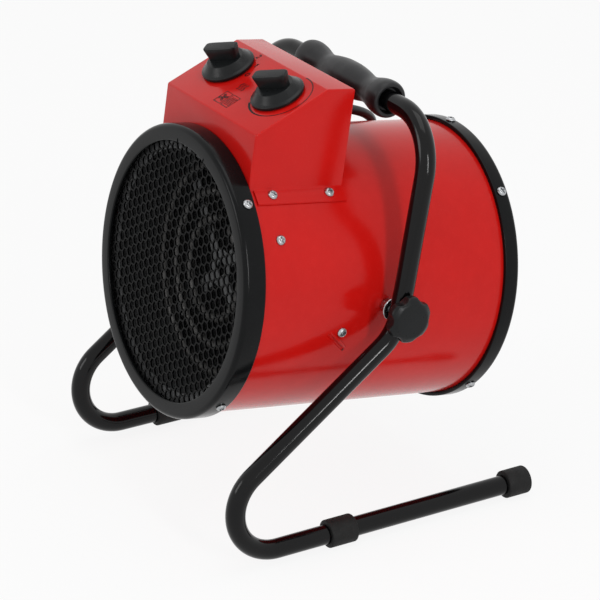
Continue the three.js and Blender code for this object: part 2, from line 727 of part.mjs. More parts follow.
function buildBox(drum) {
  add(drum, "control_box", boxShell(), RED);
  const panel = new THREE.Group();
  panel.position.set(0, BOX_FRONT, BOX_FRONT_HEIGHT);
  panel.rotation.x = Math.PI / 2 + SLOPE;
  drum.add(panel);
  const controls = [
    { name: "heat_switch", x: -KNOB_OFFSET, housing: switchHousing() },
    { name: "thermostat", x: KNOB_OFFSET, housing: thermostatHousing() },
  ];
  for (const { name, x, housing } of controls) {
    const control = new THREE.Group();
    control.position.set(x, 0, -KNOB_UP_SLOPE);
    panel.add(control);
    add(control, `${name}_body`, controlBody(housing), BLACK_PLASTIC);
    add(control, `${name}_nut`, bushNut(), ZINC);
    add(control, `${name}_spindle`, spindle(), STEEL);
    add(control, `${name}_knob`, controlKnob(), BLACK_PLASTIC);
  }
}

// ---------------------------------------------------------------- screws
function panScrew() {
  const { head, headHeight, shank, length } = SCREW;
  return turned(
    [
      [0, -length],
      [shank, -length],
      [shank, 0],
      [head, 0],
      [head, headHeight * 0.35],
      [head * 0.62, headHeight],
      [0, headHeight],
    ],
    8,
  );
}

function buildScrews(drum) {
  for (const { name, angle, y, seat } of [...frontScrews, ...rearScrews, ...boxScrews, ...sideScrews]) {
    add(drum, name, outOfDrum(panScrew().translate(0, seat + GAP, 0), angle, y), ZINC);
  }
}

// ---------------------------------------------------------------- tilt pivot
// A side's pivot pieces are drawn with their axis along Y, as far out as they lie along X.
const ON_RIGHT = new THREE.Matrix4().makeRotationZ(-Math.PI / 2);
const ON_LEFT = new THREE.Matrix4().makeRotationZ(Math.PI / 2);

function pivotBolt() {
  const headOuter = DRUM_RADIUS - BOLT_INSET;
  const head = prism(hexagon(BOLT_HEAD.flats), BOLT_HEAD.height)
    .rotateX(-Math.PI / 2)
    .translate(0, headOuter - BOLT_HEAD.height, 0);
  const end = HALF_STAND + TUBE_RADIUS + LOCK_KNOB_SEAT;
  return join(head, bar(BOLT_RADIUS, headOuter - 1, end));
}

const pivotSpacer = () => {
  const from = DRUM_RADIUS + GAP;
  const to = HALF_STAND - TUBE_RADIUS - GAP;
  const bore = BOLT_RADIUS + GAP;
  const { radius, flange, flangeSheet } = SPACER;
  const outline = [
    [bore, from],
    [radius, from],
    [radius, to - flangeSheet],
    [flange, to - flangeSheet],
    [flange, to],
    [bore, to],
  ];
  return turnedRing(outline, 20);
};

// A lobed knob: a short hub and a thick disc with rounded edges and scallops round it.
function lockKnob() {
  const from = HALF_STAND + TUBE_RADIUS + GAP;
  const { hub, hubLength, radius, rim, tip, length } = LOCK_KNOB;
  const body = turned(
    [
      [0, from],
      [hub, from],
      [hub, from + hubLength - 0.8],
      [radius - 1.4, from + hubLength],
      [radius, from + hubLength + 1.4],
      [radius, from + hubLength + rim],
      [(radius + tip) / 2 + 0.6, from + length - 1.9],
      [tip, from + length - 0.5],
      [tip - 3, from + length],
      [0, from + length],
    ],
    24,
  );
  const scallops = Array.from({ length: SCALLOP.count }, (_, i) =>
    bar(SCALLOP.radius, from - 1, from + length + 1, 12)
      .translate(SCALLOP.centre, 0, 0)
      .rotateY((i / SCALLOP.count) * 2 * Math.PI),
  );
  return cut(body, ...scallops, bar(BOLT_RADIUS + GAP, from - 1, from + LOCK_KNOB_SEAT));
}

function buildPivot(heater) {
  for (const [side, turn] of [
    ["right", ON_RIGHT],
    ["left", ON_LEFT],
  ]) {
    add(heater, `pivot_bolt_${side}`, pivotBolt().applyMatrix4(turn), ZINC);
    add(heater, `pivot_spacer_${side}`, pivotSpacer().applyMatrix4(turn), ZINC);
    add(heater, `lock_knob_${side}`, lockKnob().applyMatrix4(turn), BLACK_PLASTIC);
  }
}

// ---------------------------------------------------------------- stand
// The corners of the right side, from heel to top: y from the pivot, z from the floor.
function standCorners() {
  const lean = rad(UPRIGHT_LEAN);
  const upright = (x, reach) => v3(x, reach * Math.sin(lean), PIVOT_HEIGHT + reach * Math.cos(lean));
  const elbow = upright(HALF_STAND, -ELBOW_DROP);
  const knee = upright(HALF_STAND, KNEE_RISE);
  const top = upright(HALF_STAND - DRAW_IN, HANDLE_REACH);
  const toeReach = (elbow.z - FLOOR_TUBE) / Math.tan(rad(LEG_ANGLE));
  const toe = v3(HALF_STAND, elbow.y - toeReach, FLOOR_TUBE);
  const heel = v3(HALF_STAND, HEEL_REACH - CAP.wall - GAP, FLOOR_TUBE);
  return [heel, toe, elbow, knee, top];
}

function standFrame() {
  const right = standCorners();
  const left = right.map((p) => v3(-p.x, p.y, p.z)).reverse();
  const bends = [TOE_BEND, ELBOW_BEND, KNEE_BEND, TOP_BEND];
  const line = bentLine([...right, ...left], [...bends, ...bends.toReversed()]);
  const tube = tubeAlong(line, TUBE_RADIUS, 12, TUBE_RADIUS - TUBE_WALL);
  const reach = HALF_STAND + 2 * TUBE_RADIUS;
  const boltHole = bar(BOLT_RADIUS + GAP, -reach, reach)
    .rotateZ(Math.PI / 2)
    .translate(0, 0, PIVOT_HEIGHT);
  return cut(tube, boltHole);
}

function handleGrip() {
  const top = standCorners().at(-1);
  const half = GRIP.length / 2;
  const bore = TUBE_RADIUS + GAP;
  const { end, neck, middle } = GRIP;
  const oneSide = [
    [middle, half * 0.1],
    [middle - 1.7, half * 0.32],
    [neck + 0.1, half * 0.46],
    [neck + 0.2, half * 0.56],
    [end - 2.1, half * 0.7],
    [end - 0.2, half * 0.83],
    [end, half * 0.92],
    [end - 1.4, half],
  ];
  const mirrored = oneSide.map(([r, y]) => [r, -y]).reverse();
  return turnedRing([[bore, -half], ...mirrored, ...oneSide, [bore, half]], 16)
    .rotateZ(Math.PI / 2)
    .translate(0, top.y, top.z);
}

// A rubber sleeve along Y on the floor tube with a small flat underneath, which touches the floor.
function floorSleeve(from, to, x, capFrom = to) {
  const bore = circle(TUBE_RADIUS + GAP, 18);
  const flatHalf = THREE.MathUtils.radToDeg(Math.acos(FLOOR_TUBE / COLLAR.radius));
  const outline = circle(COLLAR.radius, 18, 0, 0, flatHalf - 90, 360 - 2 * flatHalf);
  const sleeve = plateAcross(outline, from, capFrom, [bore]);
  const whole = capFrom < to ? join(sleeve, plateAcross(outline, capFrom, to)) : sleeve;
  return whole.translate(x, 0, FLOOR_TUBE);
}

function buildStand(stand) {
  add(stand, "stand_frame", standFrame(), BLACK_PAINT);
  add(stand, "handle_grip", handleGrip(), RUBBER);
  for (const [side, x] of [
    ["right", HALF_STAND],
    ["left", -HALF_STAND],
  ]) {
    const front = COLLAR.front[side];
    add(stand, `foot_collar_${side}`, floorSleeve(front, front + COLLAR.length, x), RUBBER);
    const heel = HEEL_REACH;
    add(stand, `end_cap_${side}`, floorSleeve(heel - CAP.length, heel, x, heel - CAP.wall), RUBBER);
  }
}

// ---------------------------------------------------------------- mains cord
function buildGland(drum) {
  const { radius, length, neck, neckLength } = GLAND;
  const outside = BOX_REAR + GAP;
  const gland = turned(
    [
      [0, BOX_REAR - neckLength],
      [neck, BOX_REAR - neckLength],
      [neck, outside],
      [radius, outside],
      [radius, outside + length - 2],
      [radius - 2, outside + length],
      [0, outside + length],
    ],
    20,
  );
  add(drum, "cable_gland", gland.translate(GLAND_X, 0, GLAND.height), BLACK_PLASTIC);
  const from = outside + length + GAP;
  const relief = turned(
    [
      [0, from],
      [RELIEF.base, from],
      [RELIEF.tip, from + RELIEF.length],
      [0, from + RELIEF.length],
    ],
    16,
  );
  add(drum, "strain_relief", relief.translate(GLAND_X, 0, GLAND.height), RUBBER);
  return v3(GLAND_X, from + RELIEF.length + GAP, GLAND.height);
}

// The cord's points after the strain relief: along the drum's top, over its far side and down to the coil.
const CORD_ROUTE = [
  [-50, 49, 295.3],
  [-50.3, 63.7, 292],
  [-51.2, 77.2, 287.6],
  [-54.2, 88.5, 282.4],
  [-60.5, 99.1, 275.3],
  [-70.5, 108.4, 266.6],
  [-83.5, 116.7, 255.2],
  [-97, 123.1, 241],
  [-109, 128, 223.5],
  [-118.5, 131.7, 201.6],
  [-126, 134.4, 175.9],
  [-131.5, 137.2, 147.3],
  [-135.2, 141.5, 118],
  [-137.6, 148.5, 90],
  [-138.8, 157.5, 64],
  [-139.4, 164.8, 40],
  [-142, 167.6, 26.3],
  [-149.6, 169.1, 14.6],
  [-161.1, 169.9, 6.8],
  [-174.7, 170, 4.1],
];

// From the coil's top layer to the plug.
const TAIL_ROUTE = [
  [-251, 93.7, 20.1],
  [-251, 84, 19.4],
  [-251, 74, 18.8],
];

function cordAlong(points) {
  const curve = new THREE.CatmullRomCurve3(points, false, "centripetal");
  const section = new THREE.Shape(circle(CORD_RADIUS, CORD_FACETS));
  return new THREE.ExtrudeGeometry(section, {
    steps: Math.ceil(curve.getLength() / (5 * CORD_RADIUS)),
    extrudePath: curve,
  });
}

const asPoints = (route) => route.map(([x, y, z]) => v3(x, y, z));

function coilRing() {
  const half = COIL.across * CORD_RADIUS;
  const height = 2 * CORD_RADIUS * COIL.high;
  const outer = COIL.radius + half;
  const inner = COIL.radius - half;
  return turnedRing(
    [
      [inner, 2],
      [inner + 2, 0],
      [outer - 2, 0],
      [outer, 2],
      [outer, height - 3],
      [outer - 3, height],
      [inner + 3, height],
      [inner, height - 3],
    ],
    24,
  );
}

// A round mains plug with two pins, lying along Y with its pins towards -Y and its neck's end at y = 0.
function mainsPlug() {
  const { radius, length, neck, neckLength, pin, pinLength, pinPitch } = PLUG;
  const front = -neckLength - length;
  const body = turned(
    [
      [0, front],
      [radius - 1.5, front],
      [radius, front + 1.5],
      [radius, front + length * 0.45],
      [radius - 4, -neckLength - 4],
      [neck + 2, -neckLength],
      [neck, -neckLength + 2],
      [CORD_RADIUS + 1, 0],
      [0, 0],
    ],
    18,
  );
  const pins = [-1, 1].map((side) =>
    bar(pin, front - pinLength, front + 3, 10).translate((side * pinPitch) / 2, 0, 0),
  );
  return join(body, ...pins);
}

function buildCord(cord, exit) {
  const route = asPoints(CORD_ROUTE);
  const aside = exit.x - route[0].x;
  route.forEach((p, i) => {
    p.x += aside * Math.max(0, 1 - i / 5);
  });
  add(cord, "power_cord_run", cordAlong([exit, ...route]), RUBBER);
  const coil = coilRing().rotateX(Math.PI / 2).translate(COIL.x, COIL.y, FLOOR_GAP);
  add(cord, "power_cord_coil", coil, RUBBER);
  const tail = asPoints(TAIL_ROUTE);
  add(cord, "power_cord_tail", cordAlong(tail), RUBBER);
  const end = tail.at(-1);
  const plug = mainsPlug().translate(end.x, end.y - GAP, PLUG.radius + FLOOR_GAP);
  add(cord, "mains_plug", plug, BLACK_PLASTIC);
}

// ---------------------------------------------------------------- assembly
const heater = new THREE.Group();
heater.position.z = PIVOT_HEIGHT;
heater.rotation.x = rad(-NOSE_UP);
const drum = new THREE.Group();
drum.position.set(0, -PIVOT_AFT, -PIVOT_RISE);
heater.add(drum);
const stand = new THREE.Group();

buildDrum(drum);
buildHeating(drum);
buildFan(drum);
buildBox(drum);
buildScrews(drum);
buildPivot(heater);
buildStand(stand);

const group = new THREE.Group();
group.add(stand, heater);
group.updateMatrixWorld(true);
const middle = new THREE.Box3().setFromObject(group, true).getCenter(v3());
stand.position.y = -middle.y;
heater.position.y = -middle.y;

const reliefEnd = buildGland(drum);
group.updateMatrixWorld(true);
drum.localToWorld(reliefEnd);
const cord = new THREE.Group();
group.add(cord);
buildCord(cord, reliefEnd);

export default group;
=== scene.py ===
import math
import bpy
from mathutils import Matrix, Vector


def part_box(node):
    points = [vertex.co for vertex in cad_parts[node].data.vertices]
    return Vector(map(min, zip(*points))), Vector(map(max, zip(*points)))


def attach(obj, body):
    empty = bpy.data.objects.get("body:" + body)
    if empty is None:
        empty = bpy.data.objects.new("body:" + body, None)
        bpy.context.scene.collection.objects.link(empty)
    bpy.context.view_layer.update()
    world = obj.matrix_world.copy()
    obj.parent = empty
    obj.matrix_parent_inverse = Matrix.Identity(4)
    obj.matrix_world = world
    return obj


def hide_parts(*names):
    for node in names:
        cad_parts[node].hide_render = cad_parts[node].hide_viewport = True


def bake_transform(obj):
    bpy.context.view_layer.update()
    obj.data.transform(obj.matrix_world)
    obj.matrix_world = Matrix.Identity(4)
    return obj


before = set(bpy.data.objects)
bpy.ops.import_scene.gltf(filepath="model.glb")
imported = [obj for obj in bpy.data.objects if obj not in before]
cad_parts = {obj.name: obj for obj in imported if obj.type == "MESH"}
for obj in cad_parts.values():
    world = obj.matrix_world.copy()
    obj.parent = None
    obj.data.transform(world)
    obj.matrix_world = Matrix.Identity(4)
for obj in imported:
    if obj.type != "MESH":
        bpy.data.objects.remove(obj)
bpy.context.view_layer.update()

from types import SimpleNamespace as Sizes

import bmesh
import bpy
from mathutils import Matrix, Vector

MM = Matrix.Scale(0.001, 4)
TAU = 2 * math.pi


# ---------------------------------------------------------------- sizes, in millimetres and degrees
# Along the drum, y is negative in front of its middle. Angles round it start at its right side, going up.
# AROUND is the number of faces round a large turned part. LIP.above is in radians.
NOSE_UP_ANGLE = 8.76
AROUND = 240
SHELL = Sizes(bore=113.1, radius=114.3, half=125.8)
SLIT = Sizes(start=-8.7, turn=-7.8, front=-46.5, run=18.5, steps=10, depth=1.28)
LIP = Sizes(reach=114, rise=0.9, above=0.022, behind=1.6, thin=0.35, swell=0.95, between=3)
RIM = Sizes(mouth=104.4, bore=114.6, radius=118, face=2.6, end=128.7, front_skirt=18.4, rear_skirt=14.1)
NOTCH = Sizes(angles=(97, 74), foot=103, foot_half=1.6, tip=107.6, tip_half=0.5, front=-130, back=-125)
CELL = Sizes(pitch=8.4, web=1.3, reach=107.2, front=-125.6, back=-124.2)
PLATE = Sizes(radius=112.6, front=123.8, back=125.8, slot=4)
# the rear plate's slots: (inner end, outer end, number of slots)
PLATE_ROWS = ((20, 44, 10), (49, 73, 16), (78, 101, 22))
BOX = Sizes(front=-110, brow=134.8, ridge=-51, top=169.8, back=-25, foot=60, half=71.5, bend=2.2, edge=1.4,
            seat=114.45)
FLANGE = Sizes(front=-106, back=-25.3, width=11, radius=115.9, middle=115.2, under=114.62, fold=73.6,
               cheek=71.45, inside=70.2, up=7, foot=92)
SWITCHES = Sizes(across=39, up=41.5, turn=33)
SKIRT = Sizes(foot=0.8, radius=22, rim=3.2, shoulder=20, slope=4.4, neck=15, top=9.8)
# upper and lower are the angle and place of the screws in the drum's side
SCREWS = Sizes(ring=(45, 135, 225, 315), front=-117, rear=121, box=(49, 131), box_along=(-91, -39.5),
               upper=(30.7, -92.5), lower=(-7.9, -34.2), box_seat=115.8)
# the lock knobs and spacers start at a distance from the middle, along the tilt's axis
LOCK = Sizes(start=141.7, bore=4.3, blind=7.7, hub=11, hub_length=1.8, radius=18.9, rim=8.6)
SCALLOP = Sizes(count=6, centre=25.3, radius=9, blend=2.2)
SPACER = Sizes(start=114.6, bore=4.3, neck=5.6, flange=9.2, flange_start=123.3, end=125.1)
# the stand's tube: elbow, knee and top are distances from the pivot up the leaning upright
RAIL = Sizes(radius=8, half=133.4, floor=11.25, heel=122.2, toe_angle=35.6, pivot=188.5, lean=13.1,
             elbow=-17.785, knee=20, top=152, top_half=125.4, bends=[37.4, 38, 120, 46])
FOOT = Sizes(bore=8.02, radius=11.55, collar={"right": -65.7, "left": -79}, collar_length=24.2,
             cap=103.9, cap_end=125.5, cap_wall=3)
COIL = Sizes(x=-203, y=122, radius=48, low=4.1, lane=8, start=90, end=1620, step=6)
TIE = Sizes(near=34.8, far=53.2, top=25.4, strap=1.1, half=2.4, angle=200)
GLAND = Sizes(x=-50, z=118)
PLUG = Sizes(x=-251, y=73.7, z=18.6, pin_apart=9.5)
ELEMENTS = Sizes(radii={"inner": 40, "middle": 62, "outer": 84}, gap=18, bend=9, leg=40, front=-86, tube=4.1)
# the photograph's view: the camera's place from the drum's middle is in metres, its focal length in pixels
CAMERA = Sizes(turn=59.36, down=23.47, from_drum=(1.89825, -1.13135, 0.92632), focal=2931.42, picture=600)


def centre(node):
    low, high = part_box(node)
    return (low + high) / 2


# ---------------------------------------------------------------- places, in the part's frame
NOSE_UP = Matrix.Rotation(math.radians(-NOSE_UP_ANGLE), 4, "X")
DRUM = Matrix.Translation(centre("drum_shell")) @ NOSE_UP @ MM
TILT_AXIS = centre("lock_knob_right")
PIVOT = Matrix.Translation((0, TILT_AXIS.y, TILT_AXIS.z)) @ NOSE_UP @ MM
STAND = Matrix.Translation((0, TILT_AXIS.y, 0)) @ MM
SLOPE = math.atan2(BOX.top - BOX.brow, BOX.ridge - BOX.front)
PANEL = DRUM @ Matrix.Translation((0, BOX.front, BOX.brow)) @ Matrix.Rotation(math.pi / 2 + SLOPE, 4, "X")


# ---------------------------------------------------------------- materials
def srgb(*rgb):
    def linear(v):
        return v / 12.92 if v <= 0.04045 else ((v + 0.055) / 1.055) ** 2.4
    return tuple(linear(v / 255) for v in rgb) + (1,)


def material(name, color, roughness, tint, tint_scale, spread, bump, metallic=0.0, specular=0.5,
             stretch=(1, 1, 1), fine=None, cells=None, dust=None):
    """A painted, moulded or metal surface: mottled colour, uneven gloss, a fine relief and worn edges.

    tint and spread are how far colour and roughness vary, at tint_scale; bump is the relief's scale and
    strength, fine a second, finer scale; cells are the flakes of a zinc coat; dust is an amount and a colour.
    """
    made = bpy.data.materials.new(name)
    made.use_nodes = True
    nodes, links = made.node_tree.nodes, made.node_tree.links
    shader = nodes["Principled BSDF"]
    shader.inputs["Metallic"].default_value = metallic
    shader.inputs["Specular IOR Level"].default_value = specular
    place = nodes.new("ShaderNodeTexCoord")
    mapping = nodes.new("ShaderNodeMapping")
    mapping.inputs["Scale"].default_value = stretch
    links.new(place.outputs["Object"], mapping.inputs["Vector"])

    def noise(scale, detail):
        node = nodes.new("ShaderNodeTexNoise")
        node.inputs["Scale"].default_value = scale
        node.inputs["Detail"].default_value = detail
        node.inputs["Roughness"].default_value = 0.6
        links.new(mapping.outputs["Vector"], node.inputs["Vector"])
        return node.outputs["Fac"]

    def mixed(factor, a, b):
        node = nodes.new("ShaderNodeMix")
        node.data_type = "RGBA"
        links.new(factor, node.inputs["Factor"])
        for socket, value in ((node.inputs["A"], a), (node.inputs["B"], b)):
            if isinstance(value, tuple):
                socket.default_value = value
            else:
                links.new(value, socket)
        return node.outputs["Result"]

    def ranged(value, low, high, out_low, out_high):
        node = nodes.new("ShaderNodeMapRange")
        for key, number in (("From Min", low), ("From Max", high), ("To Min", out_low), ("To Max", out_high)):
            node.inputs[key].default_value = number
        links.new(value, node.inputs["Value"])
        return node.outputs["Result"]

    darker = tuple(c * (1 - tint) for c in color[:3]) + (1,)
    lighter = tuple(min(1, c * (1 + tint)) for c in color[:3]) + (1,)
    shade = mixed(ranged(noise(tint_scale, 4), 0.3, 0.7, 0, 1), darker, lighter)
    rough_source = noise(tint_scale * 2.3, 5)
    if cells:
        cell = nodes.new("ShaderNodeTexVoronoi")
        cell.inputs["Scale"].default_value = cells
        links.new(mapping.outputs["Vector"], cell.inputs["Vector"])
        grey = nodes.new("ShaderNodeRGBToBW")
        links.new(cell.outputs["Color"], grey.inputs["Color"])
        rough_source = grey.outputs["Val"]
        shade = mixed(ranged(rough_source, 0, 1, 0, 0.6), shade, darker)
    if dust:
        amount, dust_color = dust
        specks = ranged(noise(900, 2), 0.62, 0.72, 0, amount)
        shade = mixed(specks, shade, dust_color)
    worn = nodes.new("ShaderNodeMath")
    worn.operation = "MULTIPLY"
    edges = nodes.new("ShaderNodeNewGeometry")
    links.new(ranged(edges.outputs["Pointiness"], 0.6, 0.75, 0, 0.3), worn.inputs[0])
    links.new(ranged(noise(140, 3), 0.45, 0.65, 0, 1), worn.inputs[1])
    shade = mixed(worn.outputs[0], shade, tuple(min(1, c * 1.7 + 0.03) for c in color[:3]) + (1,))
    links.new(shade, shader.inputs["Base Color"])
    links.new(ranged(rough_source, 0.25, 0.75, max(0.02, roughness - spread), min(1, roughness + spread)),
              shader.inputs["Roughness"])
    relief = nodes.new("ShaderNodeBump")
    relief.inputs["Strength"].default_value = bump[1]
    relief.inputs["Distance"].default_value = 0.0004
    height = noise(bump[0], 3)
    if fine:
        adder = nodes.new("ShaderNodeMath")
        adder.operation = "ADD"
        links.new(height, adder.inputs[0])
        links.new(ranged(noise(fine, 1), 0, 1, 0, 0.5), adder.inputs[1])
        height = adder.outputs[0]
    links.new(height, relief.inputs["Height"])
    links.new(relief.outputs["Normal"], shader.inputs["Normal"])
    return made


RED = material("red_paint", srgb(198, 20, 16), 0.17, specular=0.2, tint=0.05, tint_scale=18, spread=0.04,
               bump=(420, 0.03), fine=1400, dust=(0.04, srgb(225, 150, 140)))
RING = material("ring_paint", srgb(13, 14, 15), 0.17, specular=0.12, tint=0.12, tint_scale=60, spread=0.06,
                bump=(700, 0.06), fine=2600, dust=(0.06, srgb(92, 92, 92)))
MESH = material("mesh_paint", srgb(8, 8, 9), 0.3, specular=0.05, tint=0.18, tint_scale=70, spread=0.08,
                bump=(900, 0.1), dust=(0.04, srgb(40, 40, 40)))
TUBE = material("tube_paint", srgb(7, 7, 8), 0.11, specular=0.22, tint=0.12, tint_scale=40, spread=0.04,
                bump=(380, 0.04), fine=1500, dust=(0.04, srgb(90, 90, 90)))
RUBBER = material("rubber", srgb(22, 22, 22), 0.68, specular=0.25, tint=0.16, tint_scale=70, spread=0.09,
                  bump=(1100, 0.35), fine=3200, dust=(0.18, srgb(74, 72, 68)))
GRIP = material("grip_rubber", srgb(24, 24, 26), 0.4, specular=0.34, tint=0.1, tint_scale=50, spread=0.07,
                bump=(800, 0.12), fine=2600, dust=(0.1, srgb(94, 92, 90)))
PLASTIC = material("knob_plastic", srgb(19, 21, 22), 0.3, specular=0.2, tint=0.1, tint_scale=60, spread=0.06,
                   bump=(1500, 0.12), fine=4200, dust=(0.08, srgb(86, 88, 88)))
CORD = material("cord_pvc", srgb(16, 16, 17), 0.42, specular=0.35, tint=0.12, tint_scale=60, spread=0.07,
                bump=(900, 0.12), dust=(0.1, srgb(74, 72, 70)))
ZINC = material("zinc", srgb(176, 178, 180), 0.27, metallic=1.0, tint=0.09, tint_scale=160, spread=0.08,
                bump=(1800, 0.1), stretch=(1, 1, 3), dust=(0.2, srgb(120, 112, 100)))
SHEET = material("galvanised", srgb(96, 97, 98), 0.5, metallic=0.5, tint=0.14, tint_scale=40, spread=0.14,
                 bump=(500, 0.06), cells=120)
ELEMENT = material("element_oxide", srgb(74, 73, 72), 0.42, metallic=0.6, tint=0.35, tint_scale=45,
                   spread=0.12, bump=(900, 0.3), dust=(0.3, srgb(92, 84, 76)))
CAST = material("cast_grey", srgb(26, 27, 28), 0.5, metallic=0.4, tint=0.1, tint_scale=60, spread=0.1,
                bump=(700, 0.35), fine=2200)
FAN = material("fan_sheet", srgb(40, 41, 42), 0.45, metallic=0.5, tint=0.1, tint_scale=30, spread=0.1,
               bump=(260, 0.08), stretch=(1, 1, 8), dust=(0.15, srgb(90, 86, 78)))
MICA = material("insulator", srgb(184, 175, 154), 0.65, tint=0.14, tint_scale=60, spread=0.1, bump=(900, 0.2),
                cells=260)
INK = material("print_ink", srgb(18, 12, 12), 0.42, specular=0.15, tint=0.15, tint_scale=200, spread=0.06,
               bump=(1600, 0.1))



# ---------------------------------------------------------------- mesh helpers, in millimetres
def mesh_of(name, vertices, faces, sharp=32):
    mesh = bpy.data.meshes.new(name)
    mesh.from_pydata([tuple(v) for v in vertices], [], faces)
    form = bmesh.new()
    form.from_mesh(mesh)
    bmesh.ops.recalc_face_normals(form, faces=form.faces)
    form.to_mesh(mesh)
    form.free()
    return finished(mesh, sharp)


def finished(mesh, sharp=32):
    mesh.shade_smooth()
    mesh.set_sharp_from_angle(angle=math.radians(sharp))
    return mesh


def joined(name, *parts, sharp=32):
    """Several (vertices, faces) as one mesh."""
    vertices, faces = [], []
    for points, polygons in parts:
        shift = len(vertices)
        vertices += [tuple(p) for p in points]
        faces += [[i + shift for i in polygon] for polygon in polygons]
    return mesh_of(name, vertices, faces, sharp)


def moved(part, matrix):
    return [matrix @ Vector(p) for p in part[0]], part[1]


def piece(name, mesh, body, coat, replaces=(), at=DRUM):
    """A named piece: it rides a body, belongs to a slot and may stand in for nodes of the CAD model."""
    mesh = mesh.copy()
    mesh.transform(at)
    if at.determinant() < 0:
        mesh.flip_normals()
    made = bpy.data.objects.new(name, mesh)
    bpy.context.scene.collection.objects.link(made)
    mesh.materials.clear()
    mesh.materials.append(coat)
    if body:
        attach(made, body)
    if replaces:
        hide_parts(*replaces)
    return made


def arc(cx, cy, radius, start, end, steps):
    angles = [math.radians(start + (end - start) * i / steps) for i in range(steps + 1)]
    return [(cx + radius * math.cos(angle), cy + radius * math.sin(angle)) for angle in angles]


def oblong(left, right, low, high):
    return [(left, low), (right, low), (right, high), (left, high)]


def rounded(corners, radii, steps=5, loop=True):
    """An outline with its corners rounded, one radius for each."""
    count = len(corners)
    outline = []
    for i, (corner, radius) in enumerate(zip(corners, radii)):
        p = Vector(corner)
        if radius <= 0 or (not loop and i in (0, count - 1)):
            outline.append(tuple(p))
            continue
        back = (Vector(corners[i - 1]) - p).normalized()
        onward = (Vector(corners[(i + 1) % count]) - p).normalized()
        turn = math.pi - back.angle(onward)
        if turn < 1e-4:
            outline.append(tuple(p))
            continue
        reach = radius * math.tan(turn / 2)
        start, end = p + back * reach, p + onward * reach
        heart = p + (back + onward).normalized() * (radius / math.cos(turn / 2))
        for s in range(steps + 1):
            a, b = start - heart, end - heart
            share = s / steps
            angle = a.angle(b)
            point = (a * math.sin((1 - share) * angle) + b * math.sin(share * angle)) / math.sin(angle)
            outline.append(tuple(heart + point))
    return outline


def lathe(outline, sides, loop=True, limit=None):
    """A solid of revolution about Y, from a list of (radius, y). limit(angle, radius) caps the radius."""
    vertices, rings, faces = [], [], []
    for radius, y in outline:
        ring = []
        if radius < 1e-6:
            ring = [len(vertices)] * sides
            vertices.append((0, y, 0))
        else:
            for i in range(sides):
                angle = TAU * i / sides
                r = min(radius, limit(angle, radius)) if limit else radius
                ring.append(len(vertices))
                vertices.append((r * math.cos(angle), y, r * math.sin(angle)))
        rings.append(ring)
    pairs = list(zip(rings, rings[1:] + (rings[:1] if loop else [])))
    for a, b in pairs[: None if loop else len(rings) - 1]:
        for i in range(sides):
            j = (i + 1) % sides
            face = [a[i], a[j], b[j], b[i]]
            kept = [v for k, v in enumerate(face) if v != face[k - 1]]
            if len(kept) > 2:
                faces.append(kept)
    return vertices, faces


def prism(outline, low, high, plane="xz"):
    """A flat outline drawn in the xz or yz plane and given depth along the third axis."""
    def at(a, b, c):
        return (a, c, b) if plane == "xz" else (c, a, b)
    count = len(outline)
    vertices = [at(a, b, low) for a, b in outline] + [at(a, b, high) for a, b in outline]
    faces = [list(range(count)), list(range(count, 2 * count))[::-1]]
    faces += [[i, (i + 1) % count, count + (i + 1) % count, count + i] for i in range(count)]
    return vertices, faces


def catmull(points, per):
    """Points on a centripetal Catmull-Rom curve through the given ones."""
    pts = [Vector(p) for p in points]
    pts = [pts[0] * 2 - pts[1]] + pts + [pts[-1] * 2 - pts[-2]]
    line = []
    for p0, p1, p2, p3 in zip(pts, pts[1:], pts[2:], pts[3:]):
        t0 = 0
        t1 = t0 + (p1 - p0).length ** 0.5
        t2 = t1 + (p2 - p1).length ** 0.5
        t3 = t2 + (p3 - p2).length ** 0.5
        for s in range(per):
            t = t1 + (t2 - t1) * s / per
            a1 = p0 * ((t1 - t) / (t1 - t0)) + p1 * ((t - t0) / (t1 - t0))
            a2 = p1 * ((t2 - t) / (t2 - t1)) + p2 * ((t - t1) / (t2 - t1))
            a3 = p2 * ((t3 - t) / (t3 - t2)) + p3 * ((t - t2) / (t3 - t2))
            b1 = a1 * ((t2 - t) / (t2 - t0)) + a2 * ((t - t0) / (t2 - t0))
            b2 = a2 * ((t3 - t) / (t3 - t1)) + a3 * ((t - t1) / (t3 - t1))
            line.append(b1 * ((t2 - t) / (t2 - t1)) + b2 * ((t - t1) / (t2 - t1)))
    return line + [pts[-2]]


def bent(corners, radii, step):
    """Straight runs joined by arcs, one radius for each inner corner, with a point every few degrees."""
    pts = [Vector(c) for c in corners]
    line = [pts[0]]
    for i, radius in enumerate(radii):
        p = pts[i + 1]
        back, onward = (pts[i] - p).normalized(), (pts[i + 2] - p).normalized()
        turn = math.pi - back.angle(onward)
        start = p + back * radius * math.tan(turn / 2)
        heart = p + (back + onward).normalized() * (radius / math.cos(turn / 2))
        spoke = start - heart
        count = max(2, math.ceil(math.degrees(turn) / step))
        for s in range(count + 1):
            angle = turn * s / count
            line.append(heart + spoke * math.cos(angle) - back * radius * math.sin(angle))
    return line + [pts[-1]]


